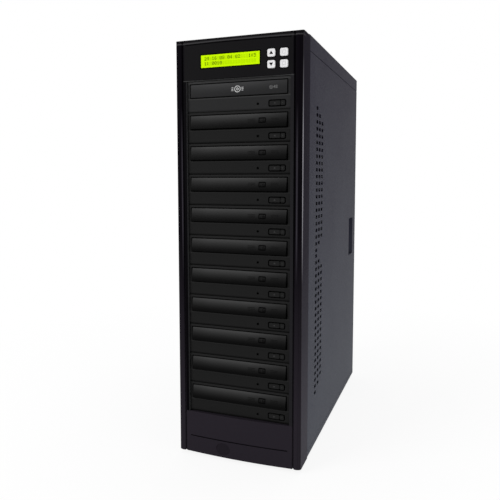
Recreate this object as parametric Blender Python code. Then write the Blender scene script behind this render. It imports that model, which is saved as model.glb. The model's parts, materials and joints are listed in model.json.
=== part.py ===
"""A free-standing disc duplicator tower.

One reader and ten writers are stacked behind a moulded front bezel with a display and four keys,
inside a folded steel case with a power supply and a fan at the back.
Units are metres. +Z is up, the front faces -Y and the feet stand on Z = 0.
Every piece is placed from the front plane, the flat of the bezel's pillars, where Y is 0 in the
tower's own frame. The tower empty then brings the middle of the whole box onto the Z axis.
"""

import math

import bmesh
import bpy

# Clearances
GAP = 0.0003  # between fixed neighbours
RUN_GAP = 0.0005  # around pieces that move
OVERRUN = 0.002  # how far a cut runs past the wall it goes through

# Case
CASE_DEPTH = 0.405  # front plane to the rear panel's outer face
SHEET = 0.001
FOOT_HEIGHT = 0.006

# Drive stack
WRITER_COUNT = 10
DRIVE_PITCH = 0.0425
FACE_GAP = 0.0005  # between one face and the next
FACE_OVERHANG = 0.0015  # face past its drive's steel case on each side
FACE_THICKNESS = 0.005
FACE_SET_BACK = 0.0035
FACE_SIDE_GAP = 0.0015
FACE_END_GAP = 0.0005  # bezel's opening to the lowest face
FACE_HEADROOM = 0.0025  # highest face to the bezel's opening

# Front bezel
BEZEL_DEPTH = 0.036
BEZEL_WALL = 0.0025
PILLAR_WIDTH = 0.0155
PILLAR_DEPTH = 0.0075
HEADER_HEIGHT = 0.0587
FOOTER_HEIGHT = 0.0608
PANEL_BOW = 0.003
PANEL_SET = 0.0005
TOP_SWEEP_DROP = 0.006
CORNER_RADIUS = 0.004
LIP_WIDTH = 0.0034
GROOVE_WIDTH = 0.0022
GROOVE_DEPTH = 0.0024
RIB_HEIGHT = 0.0008
BADGE_X = -0.0215
BADGE_Z = 0.012
BADGE_WIDTH = 0.021
BADGE_HEIGHT = 0.017
BADGE_SINK = 0.0008
BOW_STEPS = 8
RIB_STEPS = 4
CORNER_STEPS = 3
SWEEP_STEPS = 6
BADGE_SIDES = 20

# Display
LCD_DROP_SHARE = 0.579  # of the header's height, down to the display's centre
LCD_WIDTH = 0.0836
LCD_HEIGHT = 0.018
WINDOW_MARGIN = 0.0007
LCD_GLASS_SET = 0.0012
LCD_FRAME_MARGIN = 0.0045
LCD_FRAME_THICKNESS = 0.006
PANEL_BOARD_DROP = 0.01  # top of the case to the board's upper edge
PANEL_BOARD_RISE = 0.0057  # top of the drives to the board's lower edge
BOARD_THICKNESS = 0.0016
PANEL_POST_RADIUS = 0.0016
PANEL_POST_INSET = 0.003
POST_SIDES = 8

# Keys
KEY_SIDE_INSET = 0.0098  # opening's side to the far column's centre
KEY_DISPLAY_GAP = 0.0164  # display's edge to the near column's centre
KEY_PITCH_X = 0.017
KEY_PITCH_Z = 0.01465
KEY_DROP_SHARE = 0.6235  # of the header's height, down to the middle of the rows
KEY_WIDTH = 0.0117
KEY_HEIGHT = 0.011
KEY_RADIUS = 0.0022
KEY_PROUD = 0.0014
KEY_CROWN = 0.0008
KEY_FLANGE = 0.0009
KEY_FLANGE_THICKNESS = 0.001
KEY_TRAVEL = 0.0008
KEY_CORNER_STEPS = 2
SWITCH_SIZE = 0.006

# Optical drives
DRIVE_WALL = 0.001
DRIVE_CASE_INSET = 0.00035  # face's lower and upper edges past the case
DRIVE_SIDE_ROOM = 0.0034  # tray's fascia to the case's outer side
DRIVE_REAR_ROOM = 0.015  # tray plate's length to the case's depth
WRITER_TRAY_DROP = 0.0036
WRITER_TRAY_HEIGHT = 0.0188
WRITER_TRAY_BULGE = 0.003
READER_TRAY_DROP = 0.0028
READER_TRAY_HEIGHT = 0.0192
READER_TRAY_BULGE = 0.0008
TRAY_EDGE_PROUD = 0.0002
FASCIA_THICKNESS = 0.003
FASCIA_OVERHANG = 0.0036  # fascia past the tray plate on each side
FASCIA_STEPS = 5
TRAY_PLATE_THICKNESS = 0.005
TRAY_PLATE_RISE = 0.004
DISC_DIAMETER = 0.12
DISC_CLEARANCE = 0.001
DISC_WELL_DEPTH = 0.0022
WELL_SIDE_RIM = 0.005
WELL_FRONT_RIM = 0.0075
WELL_REAR_RIM = 0.0255
SMALL_DISC_DIAMETER = 0.08
SMALL_WELL_DEPTH = 0.001
WELL_SIDES = 32
SPINDLE_SLOT_WIDTH = 0.038
SPINDLE_SIDES = 12
LEDGE_LAP = 0.003  # ledge under the tray plate's edge
LEDGE_THICKNESS = 0.0015
EJECT_WIDTH = 0.0152
EJECT_HEIGHT = 0.0064
EJECT_X = 0.0526
EJECT_RISE = 0.0079  # face's lower edge to the button's centre
EJECT_PROUD = 0.0004
EJECT_CROWN = 0.0007
EJECT_RADIUS = 0.0016
EJECT_FLANGE = 0.001
EJECT_FLANGE_THICKNESS = 0.001
EJECT_RECESS_WIDTH = 0.0226
EJECT_RECESS_HEIGHT = 0.0086
EJECT_RECESS_DEPTH = 0.001
EJECT_RECESS_MARGIN = 0.0011

# Bay rails
RAIL_DEPTH = 0.13
RAIL_SLOT_LENGTH = 0.014
RAIL_SLOT_HEIGHT = 0.005

# Folded steel panels
TOP_FLANGE = 0.0215
BASE_FLANGE = 0.0095
BASE_FRONT_FLANGE = 0.012
PANEL_FRONT_FLANGE = 0.009
PANEL_REAR_FLANGE = 0.0125
HOOK_FRONT_INSET = 0.01
HOOK_HEIGHT = 0.0065
HOOK_LAP = 0.006
REAR_SIDE_FLANGE = 0.012
PANEL_TRAVEL = 0.012  # how far a side panel slides back to come off
PANEL_STOP_GAP = 0.0027  # left in front of the bay rail at the end of that slide
HOOK_STOP_GAP = 0.006  # left in front of the rear panel's flange

# Vents in the side panels
VENT_FRONT = 0.081
VENT_PITCH_Y = 0.016
VENT_PITCH_Z = 0.0097
VENT_LENGTH = 0.009
VENT_HEIGHT = 0.0042
VENT_DROP = 0.092  # top of the case to the first row
VENT_BLOCK_STEP = 0.0081  # last row of one block to the first of the next
VENT_BLOCKS = 2
VENT_ROWS = 22
VENT_COLUMNS = 3

# Finger pulls pressed into the side panels
PULL_REAR_INSET = 0.027  # back of the case to the pull's rear edge
PULL_LENGTH = 0.038
PULL_WALL_SLANT = 0.003
PULL_DEPTH = 0.0105
PULL_HEIGHT = 0.07
PULL_DROP = 0.3015  # top of the case to the pull's centre

# Power supply
PSU_SIDE_ROOM = 0.0152  # case's inner side to the power supply
PSU_HEIGHT = 0.086
PSU_DEPTH = 0.14
PSU_DROP = 0.026
PSU_FAN_INSET = 0.008  # case's side to the fan's opening
PSU_FAN_RADIUS = 0.037
PSU_HUB_RADIUS = 0.015
PSU_SPOKE_WIDTH = 0.004
PSU_OPENING_MARGIN = 0.004
PSU_INTAKE_SLOTS = 9
PSU_INTAKE_LENGTH = 0.05
PSU_INTAKE_WIDTH = 0.004
PSU_INTAKE_PITCH = 0.012
INLET_INSET = 0.029  # case's side to the middle of the inlet and the switch
INLET_Z = 0.018
INLET_WIDTH = 0.0245
INLET_HEIGHT = 0.0168
INLET_DEPTH = 0.0165
INLET_WALL = 0.0018
ROCKER_Z = -0.02
ROCKER_WIDTH = 0.0118
ROCKER_HEIGHT = 0.0178
ROCKER_HOUSING_DEPTH = 0.011
ROCKER_HOUSING_WALL = 0.0018
ROCKER_TILT = math.radians(9)
ROCKER_PROUD = 0.0022
ROCKER_BODY_DEPTH = 0.005
ROCKER_PIVOT_DEPTH = 0.0022
ROCKER_PIN_RADIUS = 0.0012

# Exhaust fan
FAN_SIZE = 0.12
FAN_DEPTH = 0.025
FAN_Z = 0.16
FAN_WALL = 0.0025
FAN_HUB_RADIUS = 0.02
FAN_STRUT_WIDTH = 0.005
FAN_STRUT_THICKNESS = 0.003
FAN_SIDES = 32
GRILLE_SLOT_HEIGHT = 0.006
GRILLE_PITCH = 0.0098
GRILLE_EDGE = 0.0035  # bore's edge to the outermost slot

# Rotors
BLADE_COUNT = 7
BLADE_THICKNESS = 0.0018
BLADE_ROOT_PITCH = math.radians(48)
BLADE_TIP_PITCH = math.radians(30)
BLADE_TIP_GAP = 0.0015
HUB_SIDES = 20

# Controller board
CONTROLLER_DEPTH = 0.12
CONTROLLER_SIDE_GAP = 0.0008
CONNECTOR_PITCH = 0.0112
CONNECTOR_WIDTH = 0.0075
CONNECTOR_DEPTH = 0.014
CONNECTOR_HEIGHT = 0.0085
CONNECTOR_INSET = 0.004
HEATSINK_SIZE = 0.032
HEATSINK_HEIGHT = 0.012
HEATSINK_Y_SHARE = 0.4
HEATSINK_X_SHARE = 0.22
MEMORY_WIDTH = 0.05
MEMORY_DEPTH = 0.012
MEMORY_HEIGHT = 0.004

# Feet
FOOT_RADIUS = 0.009
FOOT_TAPER = 0.001
FOOT_INSET_X = 0.022
FOOT_FRONT = 0.062
FOOT_REAR_INSET = 0.032
FOOT_SIDES = 20

# Thumbscrews
SCREW_HEAD_RADIUS = 0.0045
SCREW_HEAD_LENGTH = 0.006
SCREW_HEAD_CROWN = 0.0006
SCREW_SHANK_RADIUS = 0.0016
SCREW_SHANK_LENGTH = 0.006
SCREW_HOLE_GAP = 0.0004
SCREW_INSET_X = 0.0065
SCREW_INSET_Z = 0.045
SCREW_SIDES = 16

# Sizes that follow from the ones above
WELL_RADIUS = DISC_DIAMETER / 2 + DISC_CLEARANCE
TRAY_PLATE_WIDTH = 2 * (WELL_RADIUS + WELL_SIDE_RIM)
TRAY_PLATE_LENGTH = WELL_FRONT_RIM + 2 * WELL_RADIUS + WELL_REAR_RIM
TRAY_WIDTH = TRAY_PLATE_WIDTH + 2 * FASCIA_OVERHANG
FACE_HEIGHT = DRIVE_PITCH - FACE_GAP
DRIVE_CASE_WIDTH = TRAY_WIDTH + 2 * DRIVE_SIDE_ROOM
DRIVE_CASE_HEIGHT = FACE_HEIGHT - 2 * DRIVE_CASE_INSET
DRIVE_CASE_DEPTH = TRAY_PLATE_LENGTH + DRIVE_REAR_ROOM
FACE_WIDTH = DRIVE_CASE_WIDTH + 2 * FACE_OVERHANG
DRIVE_COUNT = 1 + WRITER_COUNT
BODY_HEIGHT = HEADER_HEIGHT + DRIVE_COUNT * DRIVE_PITCH + FOOTER_HEIGHT
OPENING_HALF = FACE_WIDTH / 2 + FACE_SIDE_GAP
BODY_HALF = OPENING_HALF + PILLAR_WIDTH
BASE_Z = FOOT_HEIGHT
TOP_Z = BASE_Z + BODY_HEIGHT
STACK_TOP = TOP_Z - HEADER_HEIGHT
STACK_BOTTOM = BASE_Z + FOOTER_HEIGHT
CASE_HALF = BODY_HALF - GAP
CASE_INNER_HALF = CASE_HALF - SHEET
CASE_FRONT = BEZEL_DEPTH + GAP
PANEL_BOTTOM = BASE_Z + BASE_FLANGE + GAP
PANEL_TOP = TOP_Z - TOP_FLANGE - GAP
REAR_HALF = CASE_INNER_HALF - GAP
PSU_WIDTH = 2 * (CASE_INNER_HALF - PSU_SIDE_ROOM)
REAR_INNER = CASE_DEPTH - SHEET
FLANGE_REAR = CASE_DEPTH + GAP + SHEET
REAR_REACH = FLANGE_REAR + GAP + SCREW_HEAD_LENGTH
RAIL_FRONT = CASE_FRONT + SHEET + PANEL_TRAVEL + PANEL_STOP_GAP
RAIL_INNER = DRIVE_CASE_WIDTH / 2 + GAP
RAIL_OUTER = CASE_INNER_HALF - GAP - SHEET - RUN_GAP
RAIL_TOP = STACK_TOP + SHEET + GAP
PSU_Z = TOP_Z - PSU_DROP - PSU_HEIGHT / 2
PSU_REAR = REAR_INNER - GAP
PSU_FAN_X = PSU_FAN_INSET + PSU_FAN_RADIUS - PSU_WIDTH / 2
INLET_X = PSU_WIDTH / 2 - INLET_INSET
FAN_BORE_RADIUS = FAN_SIZE / 2 - FAN_WALL
KEY_X = OPENING_HALF - KEY_SIDE_INSET - KEY_PITCH_X
KEY_ROWS_Z = TOP_Z - KEY_DROP_SHARE * HEADER_HEIGHT
LCD_X = KEY_X - KEY_DISPLAY_GAP - LCD_WIDTH / 2
LCD_Z = TOP_Z - LCD_DROP_SHARE * HEADER_HEIGHT
PULL_FRONT = CASE_DEPTH - PULL_REAR_INSET - PULL_LENGTH
PULL_Z = TOP_Z - PULL_DROP
PANEL_BOARD_Y = BEZEL_WALL + GAP + LCD_FRAME_THICKNESS


def panel_surface(x):
    """How far behind the front plane the bowed header and footer lie at x."""
    return PANEL_SET - PANEL_BOW * (1 - (x / OPENING_HALF) ** 2)


def key_column_x(column):
    return KEY_X + column * KEY_PITCH_X


FRONT_REACH = max(-panel_surface(0), KEY_PROUD - panel_surface(KEY_X))
TOWER_Y = (FRONT_REACH - REAR_REACH) / 2


# Shapes: each function returns a bmesh, and carved and joined combine them


def turned(axis, along, point):
    """The 3-D point at `along` on the named axis and at `point` across it."""
    first, second = point
    return {
        "X": (along, first, second),
        "Y": (first, along, second),
        "Z": (first, second, along),
    }[axis]


def loft(rings):
    """A closed body through rings that have the same number of points."""
    shape = bmesh.new()
    loops = [[shape.verts.new(point) for point in ring] for ring in rings]
    shape.faces.new(loops[0])
    shape.faces.new(loops[-1])
    for near, far in zip(loops, loops[1:]):
        for index, corner in enumerate(near):
            after = (index + 1) % len(near)
            shape.faces.new((corner, near[after], far[after], far[index]))
    bmesh.ops.recalc_face_normals(shape, faces=shape.faces)
    return shape


def prism(outline, axis, start, end):
    return loft([[turned(axis, along, point) for point in outline] for along in (start, end)])


def box(x, y, z):
    """A box from three (low, high) pairs."""
    return prism([(x[0], y[0]), (x[1], y[0]), (x[1], y[1]), (x[0], y[1])], "Z", *z)


def centred(middle, size):
    return (middle - size / 2, middle + size / 2)


def circle(centre, radius, sides):
    turns = [math.tau * (index + 0.5) / sides for index in range(sides)]
    return [(centre[0] + radius * math.cos(a), centre[1] + radius * math.sin(a)) for a in turns]


def ellipse(centre, width, height, sides):
    return [
        (centre[0] + (x - centre[0]) * width / 2, centre[1] + (y - centre[1]) * height / 2)
        for x, y in circle(centre, 1, sides)
    ]


def rounded(centre, width, height, radius, steps):
    """A rectangle outline with round corners, each in `steps` straight runs."""
    points = []
    for quarter, (across, up) in enumerate(((1, 1), (-1, 1), (-1, -1), (1, -1))):
        corner = (
            centre[0] + across * (width / 2 - radius),
            centre[1] + up * (height / 2 - radius),
        )
        for step in range(steps + 1):
            turn = math.pi / 2 * (quarter + step / steps)
            points.append((corner[0] + radius * math.cos(turn), corner[1] + radius * math.sin(turn)))
    return points


def gathered(shapes):
    """Several separate bodies in one bmesh, for use as one cutting tool."""
    whole = bmesh.new()
    for shape in shapes:
        mesh = bpy.data.meshes.new("gathered")
        shape.to_mesh(mesh)
        shape.free()
        whole.from_mesh(mesh)
        bpy.data.meshes.remove(mesh)
    return whole


def helper(shape):
    mesh = bpy.data.meshes.new("helper")
    shape.to_mesh(mesh)
    shape.free()
    item = bpy.data.objects.new("helper", mesh)
    item.hide_render = True
    item.display_type = "WIRE"
    bpy.context.scene.collection.objects.link(item)
    return item


def combined(body, tool, operation):
    """The shape left by one exact Boolean of body with tool."""
    target, other = helper(body), helper(tool)
    modifier = target.modifiers.new(operation, "BOOLEAN")
    modifier.solver = "EXACT"
    modifier.operation = operation
    modifier.object = other
    result = bmesh.new()
    result.from_mesh(target.evaluated_get(bpy.context.evaluated_depsgraph_get()).to_mesh())
    for item in (target, other):
        mesh = item.data
        bpy.data.objects.remove(item)
        bpy.data.meshes.remove(mesh)
    return result


def carved(body, *tools):
    for tool in tools:
        body = combined(body, tool, "DIFFERENCE")
    return body


def joined(body, *parts):
    for part in parts:
        body = combined(body, part, "UNION")
    return body


def mirrored(shape):
    """The same shape on the other side of the X = 0 plane."""
    copy = shape.copy()
    bmesh.ops.scale(copy, verts=copy.verts, vec=(-1, 1, 1))
    bmesh.ops.reverse_faces(copy, faces=copy.faces)
    return copy


# Materials


def material(name, colour, roughness, metallic=0.0):
    made = bpy.data.materials.new(name)
    made.use_nodes = True
    shader = made.node_tree.nodes["Principled BSDF"]
    shader.inputs["Base Color"].default_value = (*colour, 1)
    shader.inputs["Roughness"].default_value = roughness
    shader.inputs["Metallic"].default_value = metallic
    return made


def make_materials():
    return {
        "bezel": material("bezel_plastic", (0.017, 0.015, 0.022), 0.34),
        "case": material("case_paint", (0.028, 0.03, 0.038), 0.42, 0.2),
        "steel": material("galvanised_steel", (0.6, 0.61, 0.62), 0.38, 0.9),
        "drive": material("drive_plastic", (0.03, 0.03, 0.03), 0.48),
        "tray": material("tray_plastic", (0.036, 0.036, 0.035), 0.45),
        "eject": material("eject_plastic", (0.034, 0.034, 0.034), 0.4),
        "key": material("key_white", (0.82, 0.82, 0.84), 0.45),
        "lcd": material("display_green", (0.55, 0.93, 0.01), 0.25),
        "board": material("circuit_board", (0.02, 0.13, 0.06), 0.5),
        "fan": material("fan_plastic", (0.012, 0.012, 0.012), 0.5),
        "rubber": material("foot_rubber", (0.012, 0.012, 0.012), 0.85),
        "screw": material("screw_metal", (0.55, 0.55, 0.56), 0.3, 1.0),
        "switch": material("switch_plastic", (0.01, 0.01, 0.01), 0.35),
    }


def make_mesh(name, shape, surface):
    mesh = bpy.data.meshes.new(name)
    shape.to_mesh(mesh)
    shape.free()
    mesh.materials.append(surface)
    mesh.shade_smooth()
    mesh.set_sharp_from_angle(angle=math.radians(32))
    return mesh


def place(name, mesh, tower, x=0, y=0, z=0):
    item = bpy.data.objects.new(name, mesh)
    item.location = (x, y, z)
    item.parent = tower
    bpy.context.scene.collection.objects.link(item)
    return item


def node(name, shape, surface, tower, x=0, y=0, z=0):
    return place(name, make_mesh(name, shape, surface), tower, x, y, z)


# Front bezel


def bezel_half_outline():
    """The bezel's plan outline from its middle to its right rear corner."""
    points = []
    for step in range(BOW_STEPS + 1):
        x = OPENING_HALF * step / BOW_STEPS
        points.append((x, panel_surface(x)))
    lip = OPENING_HALF + LIP_WIDTH
    rib = lip + GROOVE_WIDTH
    rib_end = BODY_HALF - CORNER_RADIUS
    points.append((lip, PANEL_SET))
    points.append((lip, GROOVE_DEPTH))
    points.append((rib, GROOVE_DEPTH))
    for step in range(RIB_STEPS + 1):
        turn = math.pi * step / RIB_STEPS
        across = (rib + rib_end) / 2 - (rib_end - rib) / 2 * math.cos(turn)
        points.append((across, RIB_HEIGHT * (1 - math.sin(turn))))
    for step in range(1, CORNER_STEPS + 1):
        turn = math.pi / 2 * step / CORNER_STEPS
        x = rib_end + CORNER_RADIUS * math.sin(turn)
        y = RIB_HEIGHT + CORNER_RADIUS * (1 - math.cos(turn))
        points.append((x, y))
    points.append((BODY_HALF, BEZEL_DEPTH))
    return points


def sweep_cutter():
    """What lies above the bezel's top, which curves down towards the front."""
    curve = []
    for step in range(SWEEP_STEPS + 1):
        turn = math.pi / 2 * step / SWEEP_STEPS
        y = BEZEL_DEPTH * (1 - math.cos(turn)) - PANEL_BOW
        curve.append((y, TOP_Z - TOP_SWEEP_DROP * (1 - math.sin(turn))))
    front = -PANEL_BOW - OVERRUN
    back = BEZEL_DEPTH + OVERRUN
    above = TOP_Z + OVERRUN
    curve[0] = (front, curve[0][1])
    outline = [*curve, (back, TOP_Z), (back, above), (front, above)]
    return prism(outline, "X", -BODY_HALF - OVERRUN, BODY_HALF + OVERRUN)


def shoulder_outline():
    """The bezel seen from the front, with round top corners."""
    points = [(BODY_HALF, BASE_Z)]
    for step in range(CORNER_STEPS + 1):
        turn = math.pi / 2 * step / CORNER_STEPS
        x = BODY_HALF - CORNER_RADIUS * (1 - math.cos(turn))
        points.append((x, TOP_Z - CORNER_RADIUS * (1 - math.sin(turn))))
    return points + [(-x, z) for x, z in reversed(points)]


def key_hole(column, row):
    centre = (key_column_x(column), KEY_ROWS_Z + row * KEY_PITCH_Z / 2)
    width = KEY_WIDTH + 2 * RUN_GAP
    height = KEY_HEIGHT + 2 * RUN_GAP
    outline = rounded(centre, width, height, KEY_RADIUS, KEY_CORNER_STEPS)
    return prism(outline, "Y", -PANEL_BOW - OVERRUN, BEZEL_WALL + OVERRUN)


def bezel_shape():
    half = bezel_half_outline()
    outline = half + [(-x, y) for x, y in reversed(half[1:])]
    body = prism(outline, "Z", BASE_Z, TOP_Z)
    shoulders = prism(shoulder_outline(), "Y", -PANEL_BOW - OVERRUN, BEZEL_DEPTH + OVERRUN)
    body = combined(body, shoulders, "INTERSECT")
    inner_half = BODY_HALF - BEZEL_WALL
    pocket_half = OPENING_HALF - BEZEL_WALL
    back = BEZEL_DEPTH + OVERRUN
    opening_top = STACK_TOP + FACE_HEADROOM
    opening_bottom = STACK_BOTTOM - FACE_END_GAP
    inner_top = TOP_Z - TOP_SWEEP_DROP - BEZEL_WALL
    inner_bottom = BASE_Z + BEZEL_WALL
    cavity = box((-inner_half, inner_half), (PILLAR_DEPTH, back), (inner_bottom, inner_top))
    header = box(
        (-pocket_half, pocket_half),
        (BEZEL_WALL, PILLAR_DEPTH + OVERRUN),
        (opening_top + BEZEL_WALL, inner_top),
    )
    footer = box(
        (-pocket_half, pocket_half),
        (BEZEL_WALL, PILLAR_DEPTH + OVERRUN),
        (inner_bottom, opening_bottom - BEZEL_WALL),
    )
    opening = box(
        (-OPENING_HALF, OPENING_HALF),
        (-PANEL_BOW - OVERRUN, PILLAR_DEPTH + OVERRUN),
        (opening_bottom, opening_top),
    )
    window = box(
        centred(LCD_X, LCD_WIDTH + 2 * WINDOW_MARGIN),
        (-PANEL_BOW - OVERRUN, BEZEL_WALL + OVERRUN),
        centred(LCD_Z, LCD_HEIGHT + 2 * WINDOW_MARGIN),
    )
    badge_centre = (BADGE_X, BASE_Z + BADGE_Z)
    badge_floor = panel_surface(BADGE_X) + BADGE_SINK
    badge = prism(
        ellipse(badge_centre, BADGE_WIDTH, BADGE_HEIGHT, BADGE_SIDES),
        "Y",
        -PANEL_BOW - OVERRUN,
        badge_floor,
    )
    holes = gathered([key_hole(column, row) for column in (0, 1) for row in (-1, 1)])
    return carved(body, sweep_cutter(), cavity, header, footer, opening, window, badge, holes)


# Keys and display


def ring_at(centre, width, height, radius, steps, y):
    outline = rounded(centre, width, height, radius, steps)
    return [turned("Y", y, point) for point in outline]


def key_shape(column):
    """A key cap about its own centre, with its flange behind the header."""
    face = panel_surface(key_column_x(column)) - KEY_PROUD
    flange_front = BEZEL_WALL + GAP
    flange_back = flange_front + KEY_FLANGE_THICKNESS
    wide = (KEY_WIDTH + 2 * KEY_FLANGE, KEY_HEIGHT + 2 * KEY_FLANGE, KEY_RADIUS)
    full = (KEY_WIDTH, KEY_HEIGHT, KEY_RADIUS)
    crown = (KEY_WIDTH - 2 * KEY_CROWN, KEY_HEIGHT - 2 * KEY_CROWN, KEY_RADIUS - KEY_CROWN)
    rows = [
        (wide, flange_back),
        (wide, flange_front),
        (full, flange_front),
        (full, face + KEY_CROWN / 2),
        (crown, face),
    ]
    return loft([ring_at((0, 0), *size, KEY_CORNER_STEPS, y) for size, y in rows])


def display_shape():
    """The display and the key switches on one upright board behind the header."""
    board_z = (STACK_TOP + PANEL_BOARD_RISE, TOP_Z - PANEL_BOARD_DROP)
    board_half = OPENING_HALF - BEZEL_WALL - GAP
    board_x = (-board_half, board_half)
    board = box(board_x, (PANEL_BOARD_Y, PANEL_BOARD_Y + BOARD_THICKNESS), board_z)
    glass_front = panel_surface(LCD_X) + LCD_GLASS_SET
    frame_front = BEZEL_WALL + GAP
    frame = box(
        centred(LCD_X, LCD_WIDTH + 2 * LCD_FRAME_MARGIN),
        (frame_front, PANEL_BOARD_Y + BOARD_THICKNESS / 2),
        centred(LCD_Z, LCD_HEIGHT + 2 * LCD_FRAME_MARGIN),
    )
    glass = box(
        centred(LCD_X, LCD_WIDTH),
        (glass_front, frame_front + LCD_FRAME_THICKNESS / 2),
        centred(LCD_Z, LCD_HEIGHT),
    )
    switch_front = frame_front + KEY_FLANGE_THICKNESS + KEY_TRAVEL + GAP
    switches = [
        box(
            centred(key_column_x(column), SWITCH_SIZE),
            (switch_front, PANEL_BOARD_Y + BOARD_THICKNESS / 2),
            centred(KEY_ROWS_Z + row * KEY_PITCH_Z / 2, SWITCH_SIZE),
        )
        for column in (0, 1)
        for row in (-1, 1)
    ]
    frame_right = LCD_X + LCD_WIDTH / 2 + LCD_FRAME_MARGIN
    keys_left = KEY_X - KEY_WIDTH / 2 - KEY_FLANGE
    posts = []
    for x in (board_x[0] + PANEL_POST_INSET, (frame_right + keys_left) / 2):
        for z in (board_z[0] + PANEL_POST_INSET, board_z[1] - PANEL_POST_INSET):
            outline = circle((x, z), PANEL_POST_RADIUS, POST_SIDES)
            posts.append(prism(outline, "Y", frame_front, PANEL_BOARD_Y + BOARD_THICKNESS / 2))
    return joined(board, frame, glass, gathered(switches + posts))


# Optical drives, each about its face's front plane and lower edge


def tray_span(drop, height):
    """The height of a fascia's lower and upper edges above the face's lower edge."""
    top = FACE_HEIGHT - drop
    return top - height, top


def plate_bottom(drop, height):
    return tray_span(drop, height)[0] + TRAY_PLATE_RISE


def drive_shape(drop, height):
    """A drive's moulded face and hollow steel case, with the ledges that its tray runs on."""
    case_bottom = (FACE_HEIGHT - DRIVE_CASE_HEIGHT) / 2
    case_top = case_bottom + DRIVE_CASE_HEIGHT
    case_rear = FACE_THICKNESS + DRIVE_CASE_DEPTH
    rings = []
    for width, low, high, y in (
        (FACE_WIDTH, 0, FACE_HEIGHT, 0),
        (FACE_WIDTH, 0, FACE_HEIGHT, FACE_THICKNESS),
        (DRIVE_CASE_WIDTH, case_bottom, case_top, FACE_THICKNESS),
        (DRIVE_CASE_WIDTH, case_bottom, case_top, case_rear),
    ):
        half = width / 2
        rings.append([(-half, y, low), (half, y, low), (half, y, high), (-half, y, high)])
    inner = DRIVE_CASE_WIDTH / 2 - DRIVE_WALL
    ledge_edge = TRAY_PLATE_WIDTH / 2 - LEDGE_LAP
    ledge_top = plate_bottom(drop, height) - GAP
    ledge_low = ledge_top - LEDGE_THICKNESS
    half_section = [
        (inner, case_bottom + DRIVE_WALL),
        (inner, ledge_low),
        (ledge_edge, ledge_low),
        (ledge_edge, ledge_top),
        (inner, ledge_top),
        (inner, case_top - DRIVE_WALL),
    ]
    section = half_section + [(-x, z) for x, z in reversed(half_section)]
    cavity = prism(section, "Y", FACE_THICKNESS, case_rear - DRIVE_WALL)
    low, high = tray_span(drop, height)
    slot = box(
        centred(0, TRAY_WIDTH + 2 * RUN_GAP),
        (-OVERRUN, FACE_THICKNESS + OVERRUN),
        (low - RUN_GAP, high + RUN_GAP),
    )
    hole = box(
        centred(EJECT_X, EJECT_WIDTH + 2 * RUN_GAP),
        (-OVERRUN, FACE_THICKNESS + OVERRUN),
        centred(EJECT_RISE, EJECT_HEIGHT + 2 * RUN_GAP),
    )
    recess_left = EJECT_X - EJECT_WIDTH / 2 - EJECT_RECESS_MARGIN
    recess = box(
        (recess_left, recess_left + EJECT_RECESS_WIDTH),
        (-OVERRUN, EJECT_RECESS_DEPTH),
        centred(EJECT_RISE, EJECT_RECESS_HEIGHT),
    )
    return carved(loft(rings), cavity, slot, hole, recess)


def tray_shape(drop, height, bulge):
    """A tray: the bulging fascia and the plate with its two disc wells and spindle slot."""
    low, high = tray_span(drop, height)
    outline = [(FASCIA_THICKNESS, low), (FASCIA_THICKNESS, high)]
    for step in range(FASCIA_STEPS + 1):
        share = step / FASCIA_STEPS
        proud = TRAY_EDGE_PROUD + (bulge - TRAY_EDGE_PROUD) * math.sin(math.pi / 2 * share)
        outline.append((-proud, high - height * share))
    fascia = prism(outline, "X", *centred(0, TRAY_WIDTH))
    bottom = plate_bottom(drop, height)
    top = bottom + TRAY_PLATE_THICKNESS
    rear = FASCIA_THICKNESS + TRAY_PLATE_LENGTH
    plate = box(centred(0, TRAY_PLATE_WIDTH), (FASCIA_THICKNESS / 2, rear), (bottom, top))
    centre = (0, FASCIA_THICKNESS + WELL_FRONT_RIM + WELL_RADIUS)
    small_radius = SMALL_DISC_DIAMETER / 2 + DISC_CLEARANCE
    floor = top - DISC_WELL_DEPTH
    well = prism(circle(centre, WELL_RADIUS, WELL_SIDES), "Z", floor, top + OVERRUN)
    small_well = prism(
        circle(centre, small_radius, WELL_SIDES), "Z", floor - SMALL_WELL_DEPTH, top + OVERRUN
    )
    slot_half = SPINDLE_SLOT_WIDTH / 2
    slot = [(slot_half, rear + OVERRUN), (-slot_half, rear + OVERRUN)]
    for step in range(SPINDLE_SIDES + 1):
        turn = math.pi * (1 + step / SPINDLE_SIDES)
        x = centre[0] + slot_half * math.cos(turn)
        slot.append((x, centre[1] + slot_half * math.sin(turn)))
    spindle = prism(slot, "Z", bottom - OVERRUN, top + OVERRUN)
    return carved(joined(plate, fascia), well, small_well, spindle)


def eject_shape():
    """An eject button about its own centre, with its flange behind the face."""
    back = FACE_THICKNESS + GAP + EJECT_FLANGE_THICKNESS
    wide = (EJECT_WIDTH + 2 * EJECT_FLANGE, EJECT_HEIGHT + 2 * EJECT_FLANGE, EJECT_RADIUS)
    full = (EJECT_WIDTH, EJECT_HEIGHT, EJECT_RADIUS)
    crown = (
        EJECT_WIDTH - 2 * EJECT_CROWN,
        EJECT_HEIGHT - 2 * EJECT_CROWN,
        EJECT_RADIUS - EJECT_CROWN,
    )
    rows = [
        (wide, back),
        (wide, FACE_THICKNESS + GAP),
        (full, FACE_THICKNESS + GAP),
        (full, EJECT_CROWN - EJECT_PROUD),
        (crown, -EJECT_PROUD),
    ]
    return loft([ring_at((0, 0), *size, 1, y) for size, y in rows])


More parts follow.
